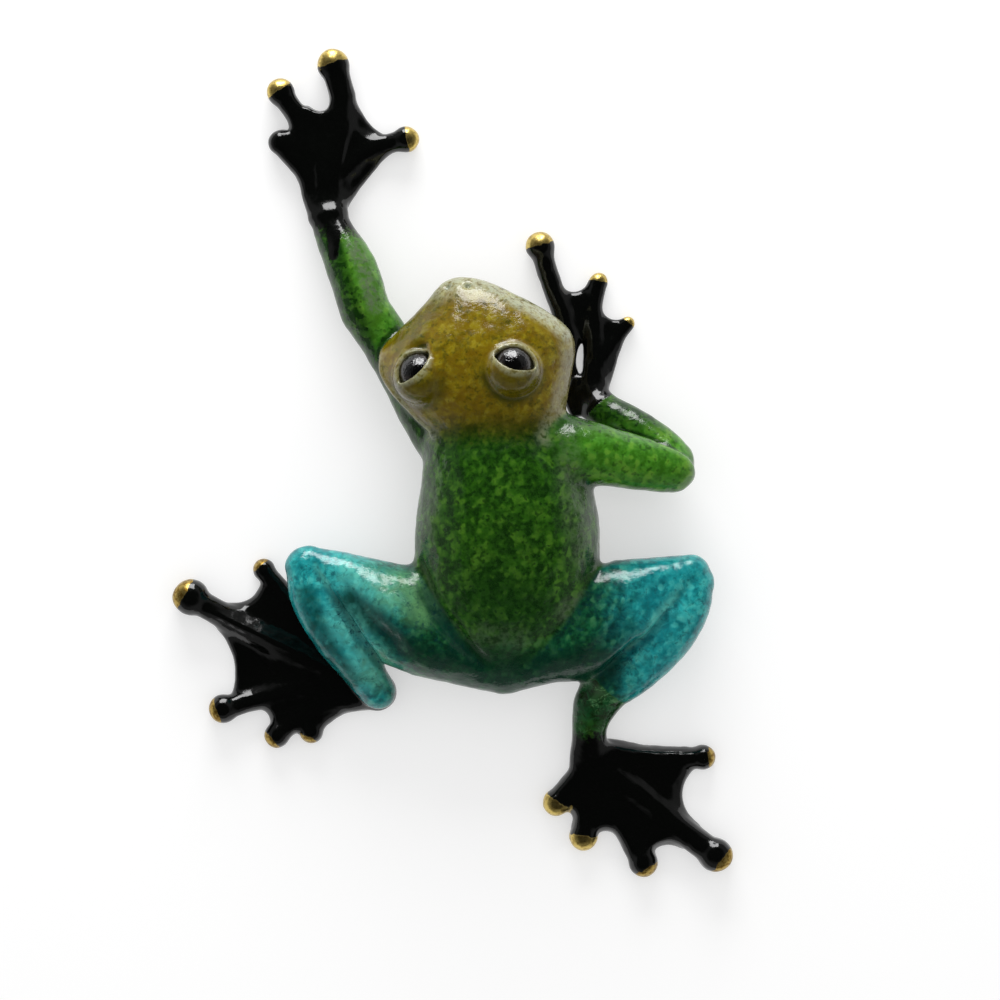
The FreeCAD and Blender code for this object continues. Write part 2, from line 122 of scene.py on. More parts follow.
class Lattice:
    """A block of the common grid, big enough for every casting and its fillets."""

    def __init__(self, step, reach):
        lows, highs = zip(*(box_mm(n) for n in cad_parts))
        margin = reach + 2 * step
        self.step, self.reach = step, reach
        self.low = np.floor((np.min(lows, 0) - margin) / step).astype(int)
        self.shape = tuple(np.ceil((np.max(highs, 0) + margin) / step).astype(int) - self.low)

    def empty(self):
        return np.full(self.shape, self.reach, np.float32)

    def measure(self, points, triangles):
        """The window of the lattice round a closed mesh, and the distances to it there."""
        grid = openvdb.FloatGrid.createLevelSetFromPolygons(
            points,
            triangles=triangles,
            transform=openvdb.createLinearTransform(voxelSize=self.step),
            halfWidth=self.reach / self.step,
        )
        low, high = (np.array(corner) for corner in grid.evalActiveVoxelBoundingBox())
        low, high = np.maximum(low, self.low), np.minimum(high, self.low + self.shape - 1)
        block = np.empty(tuple(high - low + 1), np.float32)
        grid.copyToArray(block, ijk=tuple(int(v) for v in low))
        start = low - self.low
        return tuple(slice(a, a + n) for a, n in zip(start, block.shape)), block

    def ball(self, centre, radius):
        """The window round a ball, and the distances to it there."""
        spread = radius + self.reach
        low = np.floor((centre - spread) / self.step).astype(int) - self.low
        high = np.ceil((centre + spread) / self.step).astype(int) - self.low
        low, high = np.maximum(low, 0), np.minimum(high, self.shape)
        window = tuple(slice(a, b) for a, b in zip(low, high))
        return window, np.sqrt(sum(g**2 for g in self.offsets(window, centre))) - radius

    def offsets(self, window, centre):
        """Millimetres from a centre along x, y and z, over a window."""
        axes = [self.rows(i)[s] - centre[i] for i, s in enumerate(window)]
        return [axis.astype(np.float32) for axis in np.ix_(*axes)]

    def read(self, block, points):
        """Values of a block at points, worked out between the eight nearest ones."""
        place = points / self.step - self.low
        base = np.clip(np.floor(place).astype(int), 0, np.array(self.shape) - 2)
        part = place - base
        total = np.zeros(len(points))
        for corner in np.ndindex(2, 2, 2):
            weight = np.prod(np.where(corner, part, 1 - part), axis=1)
            total += weight * block[tuple((base + corner).T)]
        return total

    def rows(self, axis):
        """Millimetres of the lattice's points along one axis."""
        return (np.arange(self.shape[axis]) + self.low[axis]) * self.step

    def webbed(self, block, share, gap):
        """A hand or foot with the web between its digits raised towards their tops by a share."""
        inside = block < 0
        solid = inside.any(axis=2)
        plan = solid.astype(np.float32)
        heights = self.rows(2).astype(np.float32)
        top = np.where(solid, heights[self.shape[2] - 1 - inside[:, :, ::-1].argmax(axis=2)], -self.reach)
        bottom = np.where(solid, heights[inside.argmax(axis=2)], 0)
        cells = int(round(gap / self.step))
        closed = widest(widest(top, cells, np.maximum), cells, np.minimum)
        weight = np.maximum(softened(plan, SPREAD_PASSES), 0.05)
        spread = softened(np.where(solid, top, 0), SPREAD_PASSES) / weight
        raised = softened(top + share * np.maximum(np.maximum(closed, spread) - top, 0), EASE_PASSES)
        rim = (0.5 - softened(plan, RIM_PASSES)) * RIM_SLOPE + RIM_OUT
        fill = carved(heights[None, None, :] - raised[:, :, None], -rim[:, :, None], WEB_EDGE)
        fill = np.maximum(fill, bottom[:, :, None] - heights[None, None, :])
        return joined(block, np.minimum(fill, self.reach).astype(np.float32), WEB_SEAM)

    def melted(self, block, low, high, passes):
        """A block with its creases melted inside a box, most at the box's middle."""
        window, weight = [], 1.0
        for axis, (start, end) in enumerate(zip(low, high)):
            row = self.rows(axis)
            inside = np.nonzero((row > start) & (row < end))[0]
            window.append(slice(inside[0], inside[-1] + 1))
            along = (row[inside] - start) / (end - start)
            bell = eased(np.minimum(along, 1 - along), 0.0, 0.25).astype(np.float32)
            shape = [1, 1, 1]
            shape[axis] = -1
            weight = weight * bell.reshape(shape)
        window = tuple(window)
        block = block.copy()
        block[window] += (softened(block[window], passes) - block[window]) * weight
        return block

    def top(self, block, x, y):
        """Height of the skin over a place in the plan."""
        i, j = (int(round(v / self.step)) - self.low[k] for k, v in enumerate((x, y)))
        column = block[i, j]
        inside = np.nonzero(column < 0)[0]
        if len(inside) == 0:
            raise ValueError(f"no metal under {x:.1f}, {y:.1f}")
        k = inside[-1]
        part = column[k] / (column[k] - column[k + 1])
        return (k + part + self.low[2]) * self.step


def widest(plan, cells, pick):
    """Each place of a plan given the highest (or lowest) value within some cells of it."""
    for turn in range(cells):
        grown = plan.copy()
        for axis in (0, 1):
            for shift in (-1, 1):
                grown = pick(grown, np.roll(plan, shift, axis))
                if turn % 2:
                    for other in (-1, 1):
                        grown = pick(grown, np.roll(np.roll(plan, shift, axis), other, 1 - axis))
        plan = grown
    return plan


def joined(a, b, fillet):
    """Two distance blocks as one body, with a fillet between them."""
    near = np.maximum(fillet - np.abs(a - b), 0) / fillet
    return np.minimum(a, b) - near * near * fillet * 0.25


def carved(a, b, fillet):
    return -joined(-a, b, fillet)


def softened(block, passes):
    """A block or plan with its small steps and creases eased."""
    block = block.copy()
    for _ in range(passes):
        for axis in range(block.ndim):
            run = np.moveaxis(block, axis, 0)
            run[1:-1] = run[1:-1] * 0.5 + (run[:-2] + run[2:]) * 0.25
    return block


def eased(value, start, end):
    """0 before start, 1 after end, and smooth between them."""
    share = np.clip((value - start) / (end - start), 0, 1)
    return share * share * (3 - 2 * share)


# ---- Nodes


class Signal:
    """A socket that takes part in sums with numbers and other signals."""

    def __init__(self, nodes, socket):
        self.nodes, self.socket = nodes, socket

    def math(self, operation, *others, flip=False):
        values = [self, *others][::-1] if flip else [self, *others]
        return self.nodes.node("Math", {"operation": operation}, dict(enumerate(values)))

    def __add__(self, other):
        return self.math("ADD", other)

    def __sub__(self, other):
        return self.math("SUBTRACT", other)

    def __rsub__(self, other):
        return self.math("SUBTRACT", other, flip=True)

    def __mul__(self, other):
        return self.math("MULTIPLY", other)

    __radd__, __rmul__ = __add__, __mul__

    def step(self, start, end, low=0.0, high=1.0):
        """low where the signal is below start, high above end, and smooth between them."""
        ends = {"From Min": start, "From Max": end, "To Min": low, "To Max": high}
        return self.nodes.node("MapRange", {"interpolation_type": "SMOOTHSTEP"}, {"Value": self, **ends})

    def clamped(self):
        return self.nodes.node("Clamp", {}, {"Value": self})


class Nodes:
    """A tree while its nodes are laid."""

    def __init__(self, tree, family="ShaderNode"):
        self.tree, self.family = tree, family
        tree.nodes.clear()

    def node(self, kind, settings, values, output=0):
        """One node: its settings first, then the number or the link of each socket."""
        made = self.tree.nodes.new(kind if kind.startswith("Node") else self.family + kind)
        for key, value in settings.items():
            setattr(made, key, value)
        for key, value in values.items():
            if isinstance(value, Signal):
                self.tree.links.new(value.socket, made.inputs[key])
            else:
                made.inputs[key].default_value = value
        return Signal(self, made.outputs[output]) if made.outputs else None

    def ray(self, kind):
        return self.node("LightPath", {}, {}, f"Is {kind} Ray")


def placed(name, data):
    """A new object in the scene."""
    made = bpy.data.objects.new(name, data)
    bpy.context.scene.collection.objects.link(made)
    return made


def set_values(mesh, name, values):
    """Gives every point of a mesh its own number."""
    layer = mesh.attributes.new(name, "FLOAT", "POINT")
    layer.data.foreach_set("value", np.asarray(values, np.float32))


# ---- Rods along a path, by geometry nodes

ROD_SPACING, ROD_SIDES = 0.35, 12


def rod_tree():
    """A round rod along a line of points, as thick as each point's girth."""
    tree = bpy.data.node_groups.new("rod_along_path", "GeometryNodeTree")
    socket = tree.interface.new_socket
    inputs = {"Path": "Geometry", "Spacing": "Float", "Sides": "Int", "Finish": "Material"}
    for name, kind in inputs.items():
        socket(name, in_out="INPUT", socket_type="NodeSocket" + kind)
    socket("Rod", in_out="OUTPUT", socket_type="NodeSocketGeometry")
    g = Nodes(tree, "GeometryNode")
    given = lambda name: g.node("NodeGroupInput", {}, {}, name)
    girth = g.node("InputNamedAttribute", {"data_type": "FLOAT"}, {"Name": "girth"}, "Attribute")
    line = g.node("MeshToCurve", {}, {"Mesh": given("Path")})
    line = g.node("SetCurveRadius", {}, {"Curve": line, "Radius": girth})
    line = g.node("CurveSplineType", {"spline_type": "CATMULL_ROM"}, {"Curve": line})
    line = g.node("ResampleCurve", {"mode": "LENGTH"}, {"Curve": line, "Length": given("Spacing")})
    section = g.node("CurvePrimitiveCircle", {}, {"Resolution": given("Sides"), "Radius": 1.0})
    thick = g.node("InputRadius", {}, {})
    along = {"Curve": line, "Profile Curve": section, "Scale": thick, "Fill Caps": True}
    real = g.node("RealizeInstances", {}, {"Geometry": g.node("CurveToMesh", {}, along)})
    made = g.node("SetMaterial", {}, {"Geometry": real, "Material": given("Finish")})
    g.node("NodeGroupOutput", {}, {"Rod": made})
    return tree


def set_input(modifier, name, value):
    for item in modifier.node_group.interface.items_tree:
        if item.item_type == "SOCKET" and item.in_out == "INPUT" and item.name == name:
            modifier[item.identifier] = value
            return
    raise ValueError(f"the tree has no input {name}")


def rod(points, girths, tree):
    """The points and triangles of a rod; its girth is given at each point of its path."""
    line = bpy.data.meshes.new("path")
    line.from_pydata([tuple(p) for p in points], [(i, i + 1) for i in range(len(points) - 1)], [])
    set_values(line, "girth", girths)
    carrier = placed("path", line)
    modifier = carrier.modifiers.new("rod", "NODES")
    modifier.node_group = tree
    set_input(modifier, "Spacing", ROD_SPACING)
    set_input(modifier, "Sides", ROD_SIDES)
    bpy.context.view_layer.update()
    seen = carrier.evaluated_get(bpy.context.evaluated_depsgraph_get())
    mesh = bpy.data.meshes.new_from_object(seen)
    bpy.data.objects.remove(carrier)
    bpy.data.meshes.remove(line)
    return corners(mesh)


def corners(mesh, scale=1.0):
    """The points and triangles of a mesh as arrays."""
    mesh.calc_loop_triangles()
    points = np.empty(len(mesh.vertices) * 3, np.float32)
    mesh.vertices.foreach_get("co", points)
    triangles = np.empty(len(mesh.loop_triangles) * 3, np.int32)
    mesh.loop_triangles.foreach_get("vertices", triangles)
    return points.reshape(-1, 3) * scale, triangles.reshape(-1, 3)


# ---- Sizes and colours


def length(name, description, millimetres, low=0.1):
    return bpy.props.FloatProperty(
        name=name, description=description, default=millimetres * MM, min=low * MM,
        unit="LENGTH", precision=6)


def level(name, description, value):
    return bpy.props.FloatProperty(name=name, description=description, default=value, min=0)


def colour(name, description, *rgb):
    return bpy.props.FloatVectorProperty(
        name=name, description=description, default=written(*rgb), min=0, max=1, subtype="COLOR")


class FrogSizes(bpy.types.PropertyGroup):
    step: length("Skin step", "Spacing of the points that the skin is worked out on", 0.25)
    seam_fillet: length("Seam fillet", "How far a chased seam between two castings is closed over", 0.35)
    fold_fillet: length("Fold fillet", "Roundness at the bottom of a fold of flesh", 0.5)
    web_gap: length("Web gap", "Widest gap between two digits that the raised web fills", 3.2)
    groin_fillet: length("Groin fillet", "Roundness where a leg leaves the trunk", 1.8)
    shoulder_fillet: length("Shoulder fillet", "Roundness where an arm leaves the trunk", 1.4)
    lid_fillet: length("Lid fillet", "Roundness round the foot of each eye's dome", 1.2)
    lid_bead: length("Lid bead", "Radius of the bead along the edge of each lid", 0.34)
    ripple: length("Ripple", "Height of the waves that the modelling tool left in the skin", 0.09, 0.0)


class FrogColours(bpy.types.PropertyGroup):
    mustard: colour("Mustard", "Patina of the head", 126, 110, 4)
    straw: colour("Straw", "Light flecks on the head", 152, 140, 36)
    ochre: colour("Ochre", "Warmer blotches on the head", 104, 82, 0)
    # Olive also paints the shade behind the eye domes
    olive: colour("Olive", "Dark speckle and pools on the head", 56, 56, 0)
    leaf: colour("Leaf green", "Patina of the back", 44, 96, 10)
    # Moss also paints the shade on the arms and, with fir, the painted shade in creases and on the flesh
    # turned from the light
    moss: colour("Moss green", "Dark speckle and pools on the back", 14, 48, 4)
    lime: colour("Lime", "Bright cells on the back and arms", 104, 148, 44)
    grass: colour("Grass green", "Patina of the arms", 62, 126, 28)
    sea: colour("Sea green", "Patina where the legs leave the trunk", 14, 88, 48)
    # Fir also paints the shade on the legs and hips
    fir: colour("Fir green", "Dark blotches of the hips and rump", 2, 44, 30)
    sage: colour("Sage", "Thin patina on the fair flesh of the thighs", 92, 146, 92)
    mint: colour("Mint", "Thin patina on the knees and shanks", 92, 186, 172)
    turquoise: colour("Turquoise", "Patina of the knees and shanks", 34, 164, 164)
    lagoon: colour("Lagoon", "Darker blotches of the knees and shanks", 4, 112, 118)
    navy: colour("Navy", "Speckle on the legs", 0, 46, 58)
    # Pale rubbed wear and painted highlight on the lids' beads and cheek ridge, painted reflection of the
    # window on the snout and the head's right rim; mixed with moss it paints grey-green veils of reflection
    wear_and_reflection: colour("Worn edge", "Rubbed snout, lids and jaw", 166, 174, 150)
    enamel: colour("Black enamel", "Hands and feet", 4, 5, 4)
    gold: colour("Polished metal", "Finger and toe pads", 214, 190, 110)
    bronze: colour("Dull metal", "Hollows of the finger and toe pads", 128, 100, 40)
    iris: colour("Iris", "The eye round its pupil", 26, 16, 8)


class FrogStage(bpy.types.PropertyGroup):
    camera_height: length("Camera height", "Distance of the camera above the table", 500.0, 100.0)
    view_width: length("View width", "Width of the table that the picture takes in", 131.27, 10.0)
    key_strength: level("Window strength", "Brightness of the window beyond the frog's head", 1.0)
    sky_strength: level("Room light", "Level of the even light from all round", 0.69)


# The window's place and size in metres, and its power; the room's pale walls and dark ceiling
WINDOW_PLACE, WINDOW_SIZE, WINDOW_POWER = (-0.03, 0.44, 0.12), (0.30, 0.26), 2.4
CEILING_BAND, WALL_LEVEL, CEILING_LEVEL = (0.40, 0.70), 0.21, 0.016
WHITE = (1, 1, 1, 1)
TABLE_HALF, TABLE_GREY, TABLE_GLOW = 1.5, (0.6, 0.6, 0.6, 1), 0.47
SENSOR = 36
AIM = (6.17, -4.81)      # where the camera looks, from the figure's middle


# ---- The skin


def node_field(lattice, name):
    return lattice.measure(*corners(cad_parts[name].data, 1 / MM))


def add_to(block, piece, fillet):
    window, local = piece
    block[window] = joined(block[window], local, fillet)


def take_from(block, piece, fillet):
    window, local = piece
    block[window] = carved(block[window], local, fillet)


# Each eye's gaze and the way its slit runs, as unit-like directions of the frame
EYE_WAYS = {
    "right_eye": ((0.13, 0.45, 0.88), (1.0, -0.37, -0.12)),
    "left_eye": ((-0.38, 0.46, 0.80), (0.75, 0.62, -0.25)),
}
LID_SHARE = 1.19         # outer radius of the lids, of the eyeball's
SLIT_SHARE = 0.93        # half-length of the slit, of the eyeball's radius
UPPER_SHARE = 0.62       # arches of the two lids, of the eyeball's radius
LOWER_SHARE = 0.55
CORNEA_SHARE = 0.12      # how far the cornea stands out, of the eyeball's radius
GLASS_SHARE = 0.985      # the glass's radius, of the eyeball's
GLASS_RINGS, GLASS_SIDES = 48, 64
LID_INSET = 0.25         # how far the dome lies under the lids' beads, in millimetres
LID_REVEAL = 0.09        # how far a bead lies back from the opening, of the eyeball's radius
SOCKET_DEPTH = 0.45      # how far the opening is cut behind the eyeball's front, in millimetres
PUPIL = written(4, 4, 4)


class Eye:
    """Centre, radius and axes of one eye, from its casting's box."""

    def __init__(self, node):
        low, high = box_mm(node)
        self.centre, self.radius = (low + high) / 2, (high[0] - low[0]) / 2
        gaze, slit = (np.array(v, float) for v in EYE_WAYS[node])
        self.gaze = gaze / np.linalg.norm(gaze)
        slit -= self.gaze * slit.dot(self.gaze)
        self.across = slit / np.linalg.norm(slit)
        self.above = np.cross(self.gaze, self.across)

    def edge(self, radius, arch_share, count=9):
        """Points along one lid's edge from corner to corner, on a ball of the given radius."""
        half, arch = SLIT_SHARE * self.radius, arch_share * self.radius
        points = []
        for t in np.linspace(-1, 1, count):
            flat = self.across * (t * half) + self.above * (arch * (1 - t * t))
            out = math.sqrt(max(radius**2 - flat.dot(flat), 0.0))
            points.append(self.centre + flat + self.gaze * out)
        return points


def eye_opening(lattice, eye):
    """The window round an eye, and the distances to the almond prism that opens its lids."""
    window, _ = lattice.ball(eye.centre, eye.radius)
    offsets = lattice.offsets(window, eye.centre)
    ways = (eye.across, eye.above, eye.gaze)
    along, up, ahead = (sum(g * w for g, w in zip(offsets, way)) for way in ways)
    half = SLIT_SHARE * eye.radius
    sides = []
    for arch, sign in ((UPPER_SHARE * eye.radius, 1), (LOWER_SHARE * eye.radius, -1)):
        bow = (half**2 + arch**2) / (2 * arch)
        sides.append(np.sqrt(along**2 + (up * sign - (arch - bow)) ** 2) - bow)
    return window, np.maximum(np.maximum(sides[0], sides[1]), 0.4 * eye.radius - ahead)


# How far a web fills a hand or foot, of its digits' height over it
WEB_RISE = {"left_hand": 1.0, "right_hand": 0.65, "left_foot": 0.75, "right_foot": 0.85}
# Flesh over the seats of the hips and in the right palm: points from the middle of a
# casting's box, and girth
FILLERS = (
    ("trunk", ((-5.4, -13.4, -2.4), (-1.3, -14.2, -2.4), (3.4, -13.4, -2.4)), 2.3),
    ("trunk", ((10.0, -2.6, -1.0), (14.2, -2.1, -1.2)), 1.6),
    ("right_hand", ((-0.6, -6.3, -0.3), (-0.2, -8.5, -0.3), (0.5, -10.7, -0.2)), 1.0),
    ("right_hand", ((-1.8, -7.8, -0.5), (-1.1, -9.8, -0.5), (-0.3, -11.4, -0.4)), 0.9),
)
# Ridges that stand on a casting: points from the middle of its box, with girth and rise
CHEEK = (
    (-12.3, 2.6), (-12.3, 1.0), (-12.2, -0.5), (-10.8, -2.75), (-8.9, -5.0), (-6.8, -7.2), (-5.3, -8.9))
RIDGES = (
    ("head", CHEEK, 0.42, 0.24),
    ("left_shank", ((-2.9, 8.2), (-1.5, 6.0), (0.6, 2.6), (2.6, -0.8), (4.4, -3.6)), 0.55, 0.14),
    ("right_shank", ((2.9, 5.5), (0.4, 3.4), (-1.6, 1.0), (-3.6, -1.4)), 0.55, 0.14),
    ("left_thigh", ((-4.6, 4.2), (-2.6, 2.4), (-0.6, 0.6), (1.8, -1.4)), 1.7, 0.45),
    ("left_shank", ((-2.6, 5.4), (-1.4, 4.2)), 1.2, 0.35),
    ("left_shank", ((1.0, -3.2), (2.2, -4.6)), 1.1, 0.35),
    ("right_thigh", ((4.6, 2.8), (1.6, 1.5), (-1.6, 0.6)), 2.6, 0.55),
    ("right_thigh", ((-2.2, -1.2), (-4.4, -2.4)), 1.3, 0.4),
    ("right_shank", ((3.6, 2.6), (2.2, 3.2)), 1.1, 0.35),
    ("right_shank", ((-0.4, -2.0), (-1.8, -2.8)), 1.1, 0.35),
    ("right_foot", ((-4.6, 11.3), (-3.8, 11.0)), 1.1, 0.3),
    ("left_hand", ((-2.0, 3.0), (-2.6, -3.0), (-2.4, -7.0)), 0.42, 0.16),
    ("left_hand", ((2.0, 4.5), (0.6, 0.0), (-0.4, -6.0)), 0.42, 0.12),
    ("left_foot", ((-9.8, 5.5), (-5.5, 3.4), (0.8, 0.4)), 0.55, 0.44),
)
# Creases pressed into a casting: points from the middle of its box, with girth and depth
CREASES = (
    ("trunk", ((-11.3, 0.0), (-9.4, -5.6), (-6.2, -9.8), (-2.8, -13.2)), 1.0, 0.75),
    ("trunk", ((11.4, -3.6), (8.6, -7.2), (4.4, -11.6)), 1.5, 0.3),
    ("left_thigh", ((-7.4, 5.8), (-4.5, 1.9), (-1.7, -2.1), (0.2, -5.2)), 1.7, 0.5),
    ("right_thigh", ((5.8, 4.9), (2.9, 2.6), (0.2, -0.2), (-2.2, -2.8)), 1.6, 0.4),
)
# A ridge and a crease run out at their ends: shares of their length, and of their girth there
RUN_OUT = ((0, 0.25, 0.75, 1), (0.45, 1, 1, 0.45))
# Strips of colour that follow the flesh, by kind: casting, points from the middle of its box,
# half width, fade beyond it, and strength
FOREARM_SIDE = ((-3.2, 5.6), (-2.4, 2.4), (-0.7, -3.9), (1.9, -10.9), (6.1, -19.4), (10.1, -24.9))
SNOUT_REFLECTION_RIM = ((-3.2, 11.4), (-0.4, 11.9), (2.0, 10.6), (4.1, 9.3), (7.2, 7.8), (9.7, 6.2), (11.6, 4.6))
STRIPS = {
    "shade": (("left_forearm", FOREARM_SIDE, 1.0, 1.3, 1.0),),
    # Grey-green veils of painted reflection along the left forearm, the trunk's sides and the right thigh
    "sage": (
        ("left_forearm", ((0.0, 5.6), (0.5, 3.4), (2.3, -1.6), (3.4, -5.2)), 0.6, 0.9, 1.0),
        ("trunk", ((-3.2, -9.2), (1.5, -9.6)), 0.9, 1.3, 0.6),
        ("trunk", ((7.6, 16.0), (8.4, 8.0), (9.6, 1.0)), 0.6, 1.8, 0.5),
        ("trunk", ((-9.6, 9.0), (-10.6, 1.0), (-9.4, -4.0)), 0.4, 1.4, 0.35),
        ("right_thigh", ((-3.6, 2.2), (-6.0, 1.2)), 0.8, 1.8, 0.9),
    ),
    "enamel": (("left_forearm", ((-2.0, 7.0), (-2.1, 1.4)), 0.3, 0.8, 0.8),),
    # Painted reflection of the window along the snout's rim and the head's right edge
    "pale": (
        ("head", SNOUT_REFLECTION_RIM, 0.4, 1.3, 1.0),
        ("head", ((12.1, 3.2), (12.0, -0.8), (11.1, -3.6), (9.9, -6.4), (8.9, -8.6)), 0.4, 1.6, 0.45),
    ),
    # Painted shade: dark strips in creases and grooves, across the nape, at the rump and along the flesh
    # turned from the light
    "painted_shade": (
        ("head", ((-6.6, 8.6), (-8.4, 6.0), (-9.0, 3.6)), 1.4, 1.8, 0.5),
        ("trunk", ((-6.0, 15.6), (0.0, 16.6), (6.0, 16.2)), 0.8, 2.8, 0.55),
        ("trunk", ((-11.0, -3.9), (-7.4, -9.5), (-3.1, -12.8)), 0.3, 1.3, 0.9),
        ("trunk", ((-3.0, -4.6), (2.0, -5.6)), 2.0, 4.0, 0.6),
        ("trunk", ((-6.0, -12.8), (0.0, -14.4), (6.0, -14.2), (12.0, -13.4)), 1.6, 2.6, 1.0),
        ("left_thigh", ((-6.2, 2.3), (-3.0, -0.3), (0.0, -3.1), (5.0, -5.6)), 0.6, 1.8, 1.0),
        ("left_shank", ((-4.2, 4.5), (-2.2, -1.5), (1.4, -6.8)), 0.5, 1.6, 0.85),
        ("right_thigh", ((1.8, -1.4), (-1.6, -3.2), (-4.6, -4.0)), 0.5, 1.6, 0.5),
    ),
}
# Fair flesh: places from the middle of a casting's box, and where it fades out round them
FAIR = {
    "left_thigh": ((-0.5, 4.0, 4.0), (-4.5, 6.0, 4.0), (3.5, 2.5, 4.0)),
    "left_shank": ((1.5, 1.0, 3.0), (4.0, -4.5, 2.0)),
}
FAIR_FADE = (1.5, 5.0)
# Bands in which a colour comes in, from where it starts to where it is full: ahead of the
# trunk's front end, outwards from the thighs, backwards from the middle of the figure, ahead
# of the left hand's back end, behind the right foot's front end, up to the snout's tip, ahead
# of the middle, and away from the right foot
HEAD_BAND, NAPE_BAND = (-4.0, 3.5), (-1.0, 6.0)
LEFT_KNEE_BAND, RIGHT_KNEE_BAND = (8.0, 19.0), (8.0, 18.0)
HIP_BAND, RUMP_BAND = (10.0, 27.0), (21.0, 29.0)
# SNOUT_BAND brings in the painted reflection of the window on the snout's tip
WRIST_BAND, INSTEP_BAND, SNOUT_BAND = (-5.0, 1.5), (4.0, 11.0), (-4.2, -1.0)
ARM_SHADE_BAND = (2.5, 6.5)
ANKLE_BAND = (0.2, 2.2)
# The limbs of the two sides lie beyond this far from the frame's middle, and the feet behind this
SIDE, BEHIND = 8.0, -20.0
# How far the gilding runs past the edge of a pad's casting, in millimetres
GILDING = ((FULL_TOES, 0.4), (RUBBED_TOES, -0.6))
NOSTRILS = ((-3.8, 10.5), (-1.15, 10.6))
NOSTRIL_RADIUS = 0.38
# Where the shoulders' wide fillets give way to the head's narrow ones, ahead of the trunk's
# front end
SHOULDER_LINE = (-2.0, 1.5)
# Boxes that melt the creases round the neck and the rump: how far their low and high corners
# lie from those of the head and the trunk, and how many passes. Along the figure they are
# taken from the trunk's front end and from its back end.
NECK_LOW, NECK_HIGH, NECK_MELT = (6, -6, 0), (3, 4.5, 2), 60
RUMP_LOW, RUMP_HIGH, RUMP_MELT = (-5, -3, 0), (5, 19, 0), 40
# Edges of the nostrils, the eyes' sockets, the eyes' beds and the table's cut
NOSTRIL_EDGE, SOCKET_EDGE, BED_EDGE, TABLE_EDGE = 0.3, 0.2, 0.1, 0.3
# Waves and the smaller ones on them: their pitches, and the height of the smaller ones
WAVE_PITCH, WAVELET_PITCH, WAVELET_SHARE = 0.42, 1.05, 0.42


